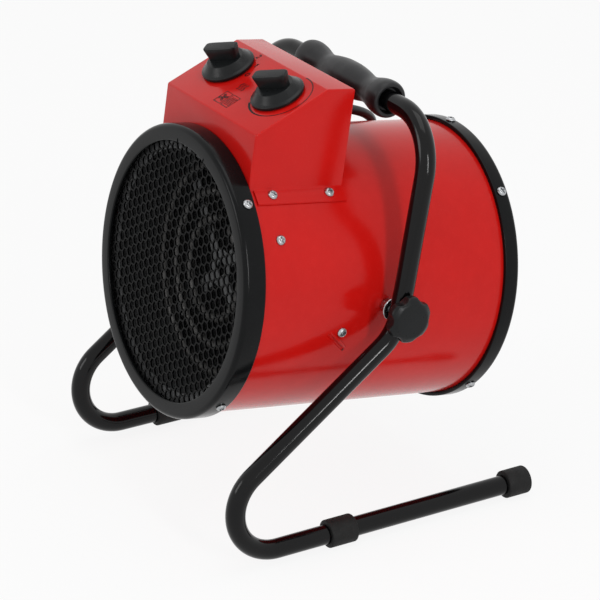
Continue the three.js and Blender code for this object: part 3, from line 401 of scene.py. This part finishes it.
def tube(points, radius, sides):
    """A round tube along points; radius is a number or one for each point."""
    count = len(points)
    radii = radius if isinstance(radius, list) else [radius] * count
    tangents = [(points[min(i + 1, count - 1)] - points[max(i - 1, 0)]).normalized() for i in range(count)]
    side = tangents[0].orthogonal().normalized()
    vertices, faces = [], []
    for i, (p, t) in enumerate(zip(points, tangents)):
        if i:
            side = tangents[i - 1].rotation_difference(t) @ side
            side = (side - t * side.dot(t)).normalized()
        other = t.cross(side)
        for k in range(sides):
            angle = TAU * k / sides
            vertices.append(p + (side * math.cos(angle) + other * math.sin(angle)) * radii[i])
    for i in range(count - 1):
        a, b = i * sides, (i + 1) * sides
        faces += [[a + k, a + (k + 1) % sides, b + (k + 1) % sides, b + k] for k in range(sides)]
    faces += [list(range(sides))[::-1], list(range((count - 1) * sides, count * sides))]
    return vertices, faces


def carved(name, mesh, tools):
    """The mesh with other closed meshes taken out of it."""
    body = bpy.data.objects.new("carved", mesh.copy())
    cutter = bpy.data.objects.new("cutter", joined("cutter", *tools))
    for o in (body, cutter):
        bpy.context.scene.collection.objects.link(o)
    change = body.modifiers.new("cut", "BOOLEAN")
    change.operation = "DIFFERENCE"
    change.solver = "EXACT"
    change.use_self = True
    change.object = cutter
    bpy.context.view_layer.update()
    result = bpy.data.meshes.new_from_object(body.evaluated_get(bpy.context.evaluated_depsgraph_get()))
    for o in (body, cutter):
        bpy.data.objects.remove(o)
    result.name = name
    return finished(result)


def bevelled(mesh, chosen, offset, segments, profile):
    """The mesh with some edges rounded: those whose ends a and b make chosen(a, b) true."""
    form = bmesh.new()
    form.from_mesh(mesh)
    edges = [e for e in form.edges if chosen(e.verts[0].co, e.verts[1].co)]
    bmesh.ops.bevel(form, geom=edges, offset=offset, segments=segments, affect="EDGES", profile=profile)
    form.to_mesh(mesh)
    form.free()
    return finished(mesh)


def on_drum(radius, angle, y):
    """A place at some distance from the drum's axis, with its angle in radians."""
    return Vector((radius * math.cos(angle), y, radius * math.sin(angle)))


def outward(angle, y):
    """From a piece along +Y to one that points out of the drum at an angle from +X."""
    out = Vector((math.cos(math.radians(angle)), 0, math.sin(math.radians(angle))))
    turn = Vector((0, 1, 0)).rotation_difference(out).to_matrix().to_4x4()
    return Matrix.Translation((0, y, 0)) @ turn


# ---------------------------------------------------------------- drum shell and rings
def build_drum():
    shell = lathe(oblong(SHELL.bore, SHELL.radius, -SHELL.half, SHELL.half), AROUND)
    slit = []
    for i in range(SLIT.steps + 1):
        share = i / SLIT.steps
        slit.append((math.radians(SLIT.start + SLIT.turn * share), SLIT.front + SLIT.run * share))
    groove = tube([on_drum(SHELL.radius + 0.1, angle, y) for angle, y in slit], SLIT.depth, 10)
    mesh = carved("drum_skin", mesh_of("shell", *shell), [groove])
    skin = piece("drum_skin", mesh, "heater", RED, ["drum_shell"])
    skin.data.materials.append(SHEET)
    axis = DRUM.to_3x3().col[1].normalized()
    for face in skin.data.polygons:
        spoke = face.center - DRUM.translation
        if face.normal.dot(spoke - axis * spoke.dot(axis)) < 0:
            face.material_index = 1
    lip, radii = [], []
    for i, (angle, y) in enumerate(slit):
        lift = math.sin(math.pi * i / SLIT.steps)
        lip.append(on_drum(LIP.reach + LIP.rise * lift, angle + LIP.above, y + LIP.behind))
        radii += [LIP.thin + LIP.swell * lift ** 0.5] * LIP.between
    line = catmull(lip, LIP.between)
    piece("drum_slit_lip", mesh_of("lip", *tube(line, radii[:len(line)], 12)), "heater", RED)


def ring_outline(skirt):
    """A folded ring's section, from its face at 0 to the end of its skirt."""
    corners = [(RIM.mouth, RIM.face), (RIM.mouth, 0), (RIM.radius, 0), (RIM.radius, skirt), (RIM.bore, skirt),
               (RIM.bore, RIM.face)]
    return rounded(corners, [0.4, 1.1, 4, 0.7, 0.4, 0], 7)


def build_rings():
    ahead = Matrix.Translation((0, -RIM.end, 0))
    front = mesh_of("front", *moved(lathe(ring_outline(RIM.front_skirt), AROUND), ahead))
    notch = prism([(-NOTCH.foot_half, NOTCH.foot), (NOTCH.foot_half, NOTCH.foot), (NOTCH.tip_half, NOTCH.tip),
                   (-NOTCH.tip_half, NOTCH.tip)], NOTCH.front, NOTCH.back)
    notches = [moved(notch, Matrix.Rotation(math.radians(90 - angle), 4, "Y")) for angle in NOTCH.angles]
    piece("front_ring_skin", carved("front_ring_skin", front, notches), "heater", RING,
          ["front_ring"])
    turned = Matrix.Translation((0, RIM.end, 0)) @ Matrix.Rotation(math.pi, 4, "X")
    rear = mesh_of("rear_ring_skin", *moved(lathe(ring_outline(RIM.rear_skirt), AROUND), turned))
    piece("rear_ring_skin", rear, "heater", RING, ["rear_ring"])


def honeycomb(pitch, web, reach, low, high):
    """Six-sided cells side by side, each with its walls."""
    vertices, faces, found = [], [], {}

    def corner(x, z, y):
        """The number of the vertex at a place, made only once."""
        key = (round(x, 3), round(y, 3), round(z, 3))
        if key not in found:
            found[key] = len(vertices)
            vertices.append((x, y, z))
        return found[key]

    def around(x, z, radius, k):
        angle = math.radians(60 * k)
        return x + radius * math.cos(angle), z + radius * math.sin(angle)

    outer, inner = pitch / math.sqrt(3), (pitch - web) / math.sqrt(3)
    column = pitch * math.sqrt(3) / 2
    wide = int(reach / column) + 1
    for i in range(-wide, wide + 1):
        for j in range(-wide - 2, wide + 3):
            x, z = i * column, (j + (i % 2) / 2) * pitch
            if math.hypot(x, z) > reach:
                continue
            for k in range(6):
                out_a, out_b = around(x, z, outer, k), around(x, z, outer, k + 1)
                in_a, in_b = around(x, z, inner, k), around(x, z, inner, k + 1)
                for y in (low, high):
                    faces.append([corner(*out_a, y), corner(*out_b, y), corner(*in_b, y), corner(*in_a, y)])
                faces.append([corner(*in_a, low), corner(*in_b, low),
                              corner(*in_b, high), corner(*in_a, high)])
    return vertices, faces


def build_grilles():
    mesh = bpy.data.meshes.new("front_mesh")
    vertices, faces = honeycomb(CELL.pitch, CELL.web, CELL.reach, CELL.front, CELL.back)
    mesh.from_pydata(vertices, [], faces)
    piece("front_honeycomb", finished(mesh), "heater", MESH, ["front_grille"])
    slots = []
    for inner, outer, count in PLATE_ROWS:
        round_out = arc(outer - PLATE.slot, 0, PLATE.slot, -90, 90, 8)
        round_in = arc(inner + PLATE.slot, 0, PLATE.slot, 90, 270, 8)
        slot = prism(round_out + round_in, PLATE.front - 2, PLATE.back + 2)
        slots += [moved(slot, Matrix.Rotation(-(i + 0.5) / count * TAU, 4, "Y")) for i in range(count)]
    plate = mesh_of("plate", *lathe(oblong(0, PLATE.radius, PLATE.front, PLATE.back), 160, loop=False))
    piece("rear_slotted_plate", carved("rear_slotted_plate", plate, slots), "heater", MESH,
          ["rear_grille"])


# ---------------------------------------------------------------- control box
def build_box():
    side = rounded([(BOX.front, BOX.foot), (BOX.front, BOX.brow), (BOX.ridge, BOX.top), (BOX.back, BOX.top),
                    (BOX.back, BOX.foot)], [0, BOX.bend, BOX.bend, BOX.bend, 0], 6)

    def on_rim(a, b):
        """The edges round a cheek, without the ones at its foot."""
        return abs(a.x - b.x) < 1e-3 and max(a.z, b.z) > BOX.foot + 1
    cover = mesh_of("cover", *prism(side, -BOX.half, BOX.half, plane="yz"))
    cover = bevelled(cover, on_rim, BOX.edge, 4, 0.5)
    drum_space = lathe(oblong(0, BOX.seat, -140, 140), AROUND, loop=False)
    piece("box_cover", carved("box_cover", cover, [drum_space]), "heater", RED, ["control_box"])


def build_flanges():
    """The strips by which the box sits on the drum, each folded out of its cheek."""
    fold = math.degrees(math.acos(FLANGE.fold / FLANGE.radius))
    end = fold - math.degrees(FLANGE.width / FLANGE.middle)
    outer = arc(0, 0, FLANGE.radius, end, fold, 10)
    meet = outer[-1][1]
    bend = rounded([outer[-2], (FLANGE.cheek, meet + 1), (FLANGE.cheek, meet + FLANGE.up)], [0, 2.4, 0], 6,
                   loop=False)
    under = [(FLANGE.inside, meet + FLANGE.up), (FLANGE.inside, FLANGE.foot)]
    outline = outer[:-1] + bend[1:] + under + arc(0, 0, FLANGE.under, fold + 1, end, 10)

    def on_lower_edge(a, b):
        off_radius = abs(math.hypot(a.x, a.z) - FLANGE.radius)
        off_end = abs(math.degrees(math.atan2(a.z, a.x)) - end)
        return abs(a.y - b.y) > 1 and off_radius < 0.05 and off_end < 0.3
    for name, mirror in (("box_flange_right", 1), ("box_flange_left", -1)):
        flange = mesh_of(name, *prism(outline, FLANGE.front, FLANGE.back))
        piece(name, bevelled(flange, on_lower_edge, 0.5, 3, 0), "heater", RED,
              at=DRUM @ Matrix.Scale(mirror, 4, (1, 0, 0)))


# a switch knob's bar, from its foot up: (height, half its length, half its width)
BAR_LEVELS = [(7, 12.2, 5), (12, 12.8, 4.9), (16.5, 13.9, 5.1), (20, 14.7, 5.3), (20.9, 14.6, 5.1),
              (21.3, 14.1, 4.7), (21.4, 13.5, 4)]


def knob_mesh():
    """A flared skirt with a bar across it."""
    skirt = rounded([(0, SKIRT.foot), (SKIRT.radius, SKIRT.foot), (SKIRT.radius, SKIRT.rim),
                     (SKIRT.shoulder, SKIRT.slope), (SKIRT.neck, SKIRT.top), (0, SKIRT.top)],
                    [0, 0.5, 0.7, 1.2, 1, 0], 6)
    vertices, faces = [], []
    sides = 56
    for height, long, wide in BAR_LEVELS:
        for i in range(sides):
            c, s = math.cos(TAU * i / sides), math.sin(TAU * i / sides)
            x, z = long * math.copysign(abs(c) ** 0.3, c), wide * math.copysign(abs(s) ** 0.4, s)
            vertices.append((x, height, z))
    for a in range(0, len(vertices) - sides, sides):
        b = a + sides
        faces += [[a + i, a + (i + 1) % sides, b + (i + 1) % sides, b + i] for i in range(sides)]
    faces.append(list(range(len(vertices) - sides, len(vertices))))
    faces.append(list(range(sides))[::-1])
    bar = moved((vertices, faces), Matrix.Rotation(math.radians(SWITCHES.turn), 4, "Y"))
    return joined("knob", lathe(skirt, 96, loop=False), bar, sharp=28)


def build_switch_knobs():
    knob = knob_mesh()
    for name, x in (("heat_switch", -SWITCHES.across), ("thermostat", SWITCHES.across)):
        piece(name + "_knob_cap", knob, name, PLASTIC, [name + "_knob"],
              at=PANEL @ Matrix.Translation((x, 0, -SWITCHES.up)))


# ---------------------------------------------------------------- the panel's print, in its x and up-slope
INK_LAYER = (0.01, 0.09)
CRESCENT = Sizes(x=42, y=42.3, radius=26.2, start=-132, end=96)
DIGIT_HEIGHT = 4.6
# the heat switch's 0, 1 and 2: (place, line in shares of the height)
DIGITS = (
    ((-15, 42), [(0, 0.2), (0, 0.8), (0.3, 1), (0.6, 0.8), (0.6, 0.2), (0.3, 0), (0, 0.2)]),
    ((-19.5, 53.6), [(0.12, 0.8), (0.36, 1), (0.36, 0)]),
    ((-29.4, 62.2), [(0, 0.8), (0.3, 1), (0.6, 0.78), (0.55, 0.5), (0, 0), (0.62, 0)]),
)
SYMBOLS = Sizes(low=8, high=21.5, fan=(-8.5, 0.6), coil=(2.6, 12.2))
FAN_BLADE = [(0.6, 0), (2.2, 1.1), (3.9, 1.3), (4.2, 0.1), (2.6, -0.7), (0.6, 0)]


def stroke(points, width):
    """An outline round an open line; width is a number or a function of the share along it."""
    left, right = [], []
    for i, (a, b) in enumerate(points):
        p, q = points[max(i - 1, 0)], points[min(i + 1, len(points) - 1)]
        d = Vector((q[0] - p[0], q[1] - p[1])).normalized()
        w = (width(i / (len(points) - 1)) if callable(width) else width) / 2
        left.append((a - d.y * w, b + d.x * w))
        right.append((a + d.y * w, b - d.x * w))
    return left + right[::-1]


def build_print():
    """The thermostat's crescent, the heat switch's 0, 1 and 2, heat waves, a fan and a heating coil."""
    marks = []

    def draw(line, width):
        marks.append(prism([(a, -b) for a, b in stroke(line, width)], *INK_LAYER))

    def waves(left, foot, apart, swing, pace, rise):
        for i in range(3):
            draw([(left + apart * i + swing * math.sin(k * pace), foot + rise * k) for k in range(9)], 1)

    draw(arc(CRESCENT.x, CRESCENT.y, CRESCENT.radius, CRESCENT.start, CRESCENT.end, 60),
         lambda s: 2 - 1.2 * min(1, 3 * s))
    for (x, y), line in DIGITS:
        draw([(x + DIGIT_HEIGHT * a, y + DIGIT_HEIGHT * b) for a, b in line], 1.1)
    for left, right in (SYMBOLS.fan, SYMBOLS.coil):
        frame_line = oblong(left, right, SYMBOLS.low, SYMBOLS.high)
        draw([frame_line[i % 4] for i in (0, 3, 2, 1, 0)], 0.8)
    waves(-4.4, 27.5, 3.2, 0.9, 0.9, 1.05)
    waves(4.8, 9.8, 2.6, 0.7, 1.1, 1.2)
    middle_x, middle_y = sum(SYMBOLS.fan) / 2, (SYMBOLS.low + SYMBOLS.high) / 2
    for i in range(4):
        turn = TAU * i / 4 + 0.4
        c, s = math.cos(turn), math.sin(turn)
        draw([(middle_x + x * c - y * s, middle_y + x * s + y * c) for x, y in FAN_BLADE], 1)
    piece("panel_print", joined("print", *marks), "heater", INK, at=PANEL)


# ---------------------------------------------------------------- screws and pivots
def screw_mesh():
    """A pan head with a cross recess, standing along +Y."""
    head = rounded([(0, -2), (1.9, -2), (1.9, 0.25), (4, 0.25), (4, 1.1), (2.9, 2.6), (0, 2.75)],
                   [0, 0, 0, 0.15, 0.7, 1.2, 0], 4)
    arm = prism(oblong(-2.5, 2.5, -0.62, 0.62), 0.9, 4)
    arms = [moved(arm, Matrix.Rotation(math.radians(turn), 4, "Y")) for turn in (0, 90)]
    core = lathe([(0, 0.4), (1, 1), (1.5, 4), (0, 4)], 8, loop=False)
    return carved("screw", mesh_of("screw", *lathe(head, 36, loop=False)), arms + [core])


def screw_seats():
    """Each screw's name, its angle round the drum, its place along it and its seat's radius."""
    seats = [(f"front_ring_screw_{i + 1}", a, SCREWS.front, RIM.radius) for i, a in enumerate(SCREWS.ring)]
    behind = SCREWS.ring + (90,)
    seats += [(f"rear_ring_screw_{i + 1}", a, SCREWS.rear, RIM.radius) for i, a in enumerate(behind)]
    on_box = [(a, y) for a in SCREWS.box for y in SCREWS.box_along]
    seats += [(f"box_screw_{i + 1}", a, y, SCREWS.box_seat) for i, (a, y) in enumerate(on_box)]
    for side in ("right", "left"):
        for name, (a, y) in (("body_screw_upper_", SCREWS.upper), ("body_screw_lower_", SCREWS.lower)):
            seats.append((name + side, a if side == "right" else 180 - a, y, SHELL.radius))
    return seats


def build_screws():
    head = screw_mesh()
    for i, (name, angle, y, seat) in enumerate(screw_seats()):
        turned = Matrix.Rotation(0.7 * i, 4, "Y")
        piece(name + "_head", head, "heater", ZINC, [name],
              at=DRUM @ outward(angle, y) @ Matrix.Translation((0, seat, 0)) @ turned)


def lobes(angle, radius):
    """How far out a lock knob's rim reaches between its scallops, with softened edges."""
    share = TAU / SCALLOP.count
    off = (angle + share / 2) % share - share / 2
    across = SCALLOP.centre * math.sin(off)
    if abs(across) >= SCALLOP.radius:
        return radius
    edge = SCALLOP.centre * math.cos(off) - math.sqrt(SCALLOP.radius ** 2 - across * across)
    blend = SCALLOP.blend
    return -math.log(math.exp(-edge * blend) + math.exp(-radius * blend)) / blend


def build_pivots():
    outside = rounded([(LOCK.bore, 0), (LOCK.hub, 0), (LOCK.hub, LOCK.hub_length),
                       (LOCK.radius, LOCK.hub_length), (LOCK.radius, LOCK.rim), (14, 11.7), (0, 12)],
                      [0.3, 0.5, 0.5, 1.6, 4, 6, 0], 8, loop=False)
    outline = [(r, LOCK.start + y) for r, y in [(0, LOCK.blind), (LOCK.bore, LOCK.blind)] + outside]
    knob = mesh_of("lock", *lathe(outline, 180, loop=False, limit=lobes), sharp=40)
    washer = rounded([(SPACER.bore, SPACER.start), (SPACER.neck, SPACER.start),
                      (SPACER.neck, SPACER.flange_start), (SPACER.flange, SPACER.flange_start),
                      (SPACER.flange, SPACER.end), (SPACER.bore, SPACER.end)],
                     [0.2, 0.4, 0.5, 0.85, 0.85, 0.2], 5)
    spacer = mesh_of("washer", *lathe(washer, 64))
    for side, turn in (("right", -1), ("left", 1)):
        at = PIVOT @ Matrix.Rotation(turn * math.pi / 2, 4, "Z")
        lock = "lock_knob_" + side
        piece(lock + "_grip", knob, lock, PLASTIC, [lock], at=at)
        piece("pivot_washer_" + side, spacer, "heater", ZINC, ["pivot_spacer_" + side], at=at)


# ---------------------------------------------------------------- stand
# the grip's swelling from its middle out: (radius, distance)
GRIP_SWELL = [(14.6, 0), (14.5, 6.5), (14, 12.5), (12.9, 20.2), (11.5, 28), (11.2, 32.4), (11.7, 37),
              (13.1, 43), (14.4, 48), (15.2, 53.5), (15.3, 58), (14.6, 61.4), (13.6, 62.8)]


def stand_corners():
    """The right half of the stand's middle line: heel, toe, elbow, knee and the top run's end."""
    lean = math.radians(RAIL.lean)

    def upright(x, reach):
        return (x, reach * math.sin(lean), RAIL.pivot + reach * math.cos(lean))
    elbow, knee = upright(RAIL.half, RAIL.elbow), upright(RAIL.half, RAIL.knee)
    top = upright(RAIL.top_half, RAIL.top)
    run = (elbow[2] - RAIL.floor) / math.tan(math.radians(RAIL.toe_angle))
    toe = (RAIL.half, elbow[1] - run, RAIL.floor)
    return [(RAIL.half, RAIL.heel, RAIL.floor), toe, elbow, knee, top]


def mirrored(outline):
    return [(r, -y) for r, y in reversed(outline)]


def sleeve_mesh():
    outside = [tuple(p)[:2] for p in catmull([(r, y, 0) for r, y in GRIP_SWELL], 5)]
    end = rounded([(13.2, 63), (11, 63), (9.8, 57), (8.05, 57)], [0, 0.8, 1, 0], 4, loop=False)
    outline = mirrored(outside)[:-1] + outside + end + mirrored(end)
    return mesh_of("sleeve", *lathe(outline, 96), sharp=45)


def foot_mesh(low, high, shut):
    """A rubber sleeve round a floor run, cut flat on the floor; a shut one has an end wall."""
    last = (0, high) if shut else (FOOT.bore, high)
    outline = rounded([(FOOT.bore, low), (FOOT.radius, low), (FOOT.radius, high), last],
                      [0.2, 1.3, 1.6, 0 if shut else 0.2], 6)
    if shut:
        inside = high - FOOT.cap_wall
        outline = [p for p in outline if p[0] > 0] + [(0, high), (0, inside), (FOOT.bore, inside)]
    vertices, faces = lathe(outline, 96)
    return mesh_of("foot", [(x, y, max(z, -RAIL.floor)) for x, y, z in vertices], faces, 40)


def build_stand():
    corners = stand_corners()
    line = corners + [(-x, y, z) for x, y, z in reversed(corners)]
    mesh = mesh_of("tube", *tube(bent(line, RAIL.bends + RAIL.bends[::-1], 4), RAIL.radius, 40), sharp=50)
    piece("stand_tube", mesh, "stand", TUBE, ["stand_frame"], at=STAND)
    top = corners[-1]
    at = STAND @ Matrix.Translation((0, top[1], top[2])) @ Matrix.Rotation(math.pi / 2, 4, "Z")
    piece("handle_sleeve", sleeve_mesh(), "stand", GRIP, ["handle_grip"], at=at)
    for side, x in (("right", RAIL.half), ("left", -RAIL.half)):
        at = STAND @ Matrix.Translation((x, 0, RAIL.floor))
        front = FOOT.collar[side]
        collar = foot_mesh(front, front + FOOT.collar_length, False)
        piece("foot_collar_" + side, collar, "stand", RUBBER, ["foot_collar_" + side], at=at)
        cap = foot_mesh(FOOT.cap, FOOT.cap_end, True)
        piece("foot_cap_" + side, cap, "stand", RUBBER, ["end_cap_" + side], at=at)


# ---------------------------------------------------------------- cord
CORD_ROUTE = [(-50, 49, 295.3), (-50.3, 63.7, 292), (-51.2, 77.2, 287.6), (-54.2, 88.5, 282.4),
              (-60.5, 99.1, 275.3), (-70.5, 108.4, 266.6), (-83.5, 116.7, 255.2), (-97, 123.1, 241),
              (-109, 128, 223.5), (-118.5, 131.7, 201.6), (-126, 134.4, 175.9), (-131.5, 137.2, 147.3),
              (-135.2, 141.5, 118), (-137.6, 148.5, 90), (-138.8, 157.5, 64), (-139.4, 164.8, 40),
              (-142, 167.6, 26.3), (-149.6, 169.1, 14.6), (-161.1, 169.9, 6.8), (-174.7, 170, 4.1)]
CORD_TAIL = [(-251, 108, 20.1), (-251, 93.7, 20.1), (-251, 84, 19.4), (-251, 74, 18.8)]


def smoothly(value, start, end):
    t = min(1, max(0, (value - start) / (end - start)))
    return t * t * (3 - 2 * t)


def coil_point(angle):
    """The coil's line: the outer lane, then the inner one, up a layer, out again, and up to the top."""
    def lane_from(start):
        return COIL.lane * smoothly(angle, start, start + 60)
    radius = COIL.radius - lane_from(390) + lane_from(990)
    height = COIL.low + lane_from(690) + lane_from(1290)
    turn = math.radians(angle)
    return Vector((COIL.x + radius * math.cos(turn), COIL.y + radius * math.sin(turn), height))


def tie_piece():
    """A strap round the coil's strands, with its lock on the outside."""
    strap = TIE.strap
    outer = rounded(oblong(TIE.near, TIE.far, 0, TIE.top), [4] * 4)
    inner = rounded(oblong(TIE.near + strap, TIE.far - strap, strap, TIE.top - strap), [3.2] * 4)
    count = len(outer)
    vertices = [(x, y, z) for y in (-TIE.half, TIE.half) for ring in (outer, inner) for x, z in ring]
    faces = []
    for i in range(count):
        j = (i + 1) % count
        for a, b in ((0, count), (count, 3 * count), (3 * count, 2 * count), (2 * count, 0)):
            faces.append([a + i, a + j, b + j, b + i])
    lock = prism(rounded(oblong(52.4, 57.2, 9.4, 16), [0, 1, 1, 0], 4), -3.6, 3.6)
    at = MM @ Matrix.Translation((COIL.x, COIL.y, 0)) @ Matrix.Rotation(math.radians(TIE.angle), 4, "Z")
    return piece("cord_tie", joined("tie", (vertices, faces), lock), "stand", PLASTIC, at=at)


def build_relief():
    """The cord's ribbed sleeve and the gland that holds it in the box."""
    at = DRUM @ Matrix.Translation((GLAND.x, 0, GLAND.z))
    relief = [(0, -16.4), (7, -16.4), (6.9, -13)]
    for i in range(6):
        y = -12 + 4.2 * i
        base = 6.9 - 0.3 * i
        relief += [(base - 0.9, y), (base - 0.9, y + 1.3), (base - 0.1, y + 1.6), (base - 0.25, y + 3.6)]
    relief += [(4.9, 13.2), (4.15, 13.6), (0, 13.6)]
    mesh = mesh_of("relief", *lathe(relief, 48, loop=False), sharp=40)
    piece("cord_relief", mesh, "heater", RUBBER, ["strain_relief"], at=at)
    nut = rounded([(0, -32), (6, -32), (6, -24.7), (10.5, -24.7), (10.5, -18.2), (8.4, -16.6), (0, -16.6)],
                  [0, 0, 0, 0.6, 1, 1, 0], 4)
    mesh = mesh_of("gland", *lathe(nut, 12, loop=False), sharp=25)
    piece("cord_gland", mesh, "heater", PLASTIC, ["cable_gland"], at=at)


def plug_pieces():
    """The moulded plug and its two pins."""
    at = MM @ Matrix.Translation((PLUG.x, PLUG.y, PLUG.z))
    body = rounded([(0, -52), (18.4, -52), (18.4, -34.5), (14.5, -20), (10.6, -17.5), (7.6, -12), (5.2, -0.2),
                    (0, -0.2)], [0, 1.4, 3, 6, 4, 5, 1, 0], 6)
    mesh = mesh_of("plug", *lathe(body, 72, loop=False))
    plug = piece("plug_body", mesh, "stand", PLASTIC, ["mains_plug"], at=at)
    pin = lathe(rounded([(0, -70.8), (2.4, -70.8), (2.4, -50), (0, -50)], [0, 1.6, 0, 0], 5), 24, loop=False)
    both = [moved(pin, Matrix.Translation((side * PLUG.pin_apart, 0, 0))) for side in (-1, 1)]
    return plug, piece("plug_pins", joined("pins", *both), "stand", ZINC, at=at)


def build_cord():
    leave = DRUM @ Vector((GLAND.x, 13.9, GLAND.z))
    run = catmull([leave * 1000] + CORD_ROUTE, 6)
    onto_coil = coil_point(COIL.start) - run[-1]
    straight = [run[-1] + onto_coil * s / 5 for s in range(1, 5)]
    coil = [coil_point(angle) for angle in range(COIL.start, COIL.end + 1, COIL.step)]
    line = run + straight + coil + catmull([coil[-1]] + CORD_TAIL, 4)[1:]
    cord = piece("mains_cord", mesh_of("cord", *tube(line, 4, 20), sharp=60), None, CORD,
                 ["power_cord_run", "power_cord_coil", "power_cord_tail"], at=MM)
    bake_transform(cord)
    build_relief()
    plug, pins = plug_pieces()
    tie = tie_piece()


# ---------------------------------------------------------------- inside the drum
CAD_FINISH = {
    "heat_duct": SHEET, "element_bracket": SHEET, "motor_bracket": SHEET, "terminal_plate": MICA,
    "motor_housing": CAST, "motor_shaft": ZINC, "fan_impeller": FAN,
    "heat_switch_body": PLASTIC, "heat_switch_nut": ZINC, "heat_switch_spindle": ZINC,
    "thermostat_body": PLASTIC, "thermostat_nut": ZINC, "thermostat_spindle": ZINC,
    "pivot_bolt_right": ZINC, "pivot_bolt_left": ZINC,
}


def element_line(radius):
    """A heating element's middle line: a ring open at the top, whose ends turn back along the drum."""
    gap = math.asin(ELEMENTS.gap / radius)
    bend = ELEMENTS.bend
    legs = []
    for side in (1, -1):
        end = Vector((side * radius * math.sin(gap), 0, radius * math.cos(gap)))
        onward = Vector((-side * math.cos(gap), 0, math.sin(gap)))
        leg = [end + onward * bend + Vector((0, ELEMENTS.leg, 0))]
        for i in range(8):
            angle = math.radians(90 - 90 * i / 7)
            leg.append(end + onward * bend * math.sin(angle) + Vector((0, bend * (1 - math.cos(angle)), 0)))
        legs.append(leg)
    angles = [gap + (TAU - 2 * gap) * i / 90 for i in range(1, 90)]
    ring = [Vector((radius * math.sin(angle), 0, radius * math.cos(angle))) for angle in angles]
    return [p + Vector((0, ELEMENTS.front, 0)) for p in legs[0] + ring + legs[1][::-1]]


def build_inside():
    for name, coat in CAD_FINISH.items():
        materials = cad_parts[name].data.materials
        materials.clear()
        materials.append(coat)
    for place, radius in ELEMENTS.radii.items():
        mesh = mesh_of("element", *tube(element_line(radius), ELEMENTS.tube, 18), sharp=60)
        piece("element_tube_" + place, mesh, "heater", ELEMENT, ["heating_element_" + place])


# ---------------------------------------------------------------- studio, in metres
def light(name, place, aim, size, power):
    data = bpy.data.lights.new(name, "AREA")
    data.shape = "RECTANGLE"
    data.size, data.size_y = size
    data.energy = power
    made = bpy.data.objects.new(name, data)
    bpy.context.scene.collection.objects.link(made)
    made.location = place
    made.rotation_euler = (Vector(aim) - Vector(place)).to_track_quat("-Z", "Y").to_euler()


def seen(nodes, links):
    """Where the white surroundings show: straight to the camera, in gloss and through glass."""
    path = nodes.new("ShaderNodeLightPath")
    value = path.outputs["Is Camera Ray"]
    for ray in ("Is Glossy Ray", "Is Transmission Ray"):
        either = nodes.new("ShaderNodeMath")
        either.operation = "MAXIMUM"
        links.new(value, either.inputs[0])
        links.new(path.outputs[ray], either.inputs[1])
        value = either.outputs[0]
    return value


def build_floor():
    """White paper that mostly glows where it is seen, so that only a soft shadow stays on it."""
    mesh = mesh_of("floor", [(x, y, 0) for x, y in oblong(-6, 6, -6, 6)], [[0, 1, 2, 3]])
    floor = bpy.data.objects.new("floor", mesh)
    bpy.context.scene.collection.objects.link(floor)
    floor.location.z = -0.0002
    paper = bpy.data.materials.new("floor_paper")
    paper.use_nodes = True
    nodes, links = paper.node_tree.nodes, paper.node_tree.links
    shader = nodes["Principled BSDF"]
    shader.inputs["Base Color"].default_value = (0.86, 0.86, 0.86, 1)
    shader.inputs["Roughness"].default_value = 0.9
    shown, factor = nodes.new("ShaderNodeEmission"), nodes.new("ShaderNodeMath")
    factor.operation = "MULTIPLY"
    factor.inputs[1].default_value = 0.88
    mix = nodes.new("ShaderNodeMixShader")
    links.new(seen(nodes, links), factor.inputs[0])
    links.new(factor.outputs[0], mix.inputs["Fac"])
    links.new(shader.outputs[0], mix.inputs[1])
    links.new(shown.outputs[0], mix.inputs[2])
    links.new(mix.outputs[0], nodes["Material Output"].inputs["Surface"])
    mesh.materials.append(paper)


def build_surroundings():
    """White all round, full where it is seen and dimmer as a light."""
    scene = bpy.context.scene
    world = scene.world or bpy.data.worlds.new("world")
    scene.world = world
    world.use_nodes = True
    nodes, links = world.node_tree.nodes, world.node_tree.links
    sky = nodes["Background"]
    strength = nodes.new("ShaderNodeMapRange")
    strength.inputs["To Min"].default_value = 0.55
    strength.inputs["To Max"].default_value = 1.0
    sky.inputs["Color"].default_value = (1, 1, 1, 1)
    links.new(seen(nodes, links), strength.inputs["Value"])
    links.new(strength.outputs["Result"], sky.inputs["Strength"])


def build_camera():
    turn, down = math.radians(CAMERA.turn), math.radians(CAMERA.down)
    right = Vector((math.cos(turn), math.sin(turn), 0))
    back = Vector((math.sin(turn) * math.cos(down), -math.cos(turn) * math.cos(down), math.sin(down)))
    up = back.cross(right)
    eye = centre("drum_shell") + Vector(CAMERA.from_drum)
    data = bpy.data.cameras.new("camera")
    data.sensor_width = 36
    data.lens = CAMERA.focal / CAMERA.picture * data.sensor_width
    camera = bpy.data.objects.new("camera", data)
    bpy.context.scene.collection.objects.link(camera)
    camera.matrix_world = Matrix(((right.x, up.x, back.x, eye.x), (right.y, up.y, back.y, eye.y),
                                  (right.z, up.z, back.z, eye.z), (0, 0, 0, 1)))
    bpy.context.scene.camera = camera


def build_studio():
    bpy.context.scene.view_settings.view_transform = "Standard"
    build_floor()
    build_surroundings()
    light("side", (2.0, -0.1, 1.0), (0, 0, 0.18), (0.14, 0.95), 13)
    light("front", (-0.5, -2.2, 1.3), (0, 0, 0.2), (0.9, 0.9), 9)
    light("top", (0.1, 0.2, 2.4), (0, 0, 0.2), (1.4, 1.4), 10)
    build_camera()


build_drum()
build_rings()
build_grilles()
build_box()
build_flanges()
build_switch_knobs()
build_print()
build_screws()
build_pivots()
build_stand()
build_cord()
build_inside()
build_studio()
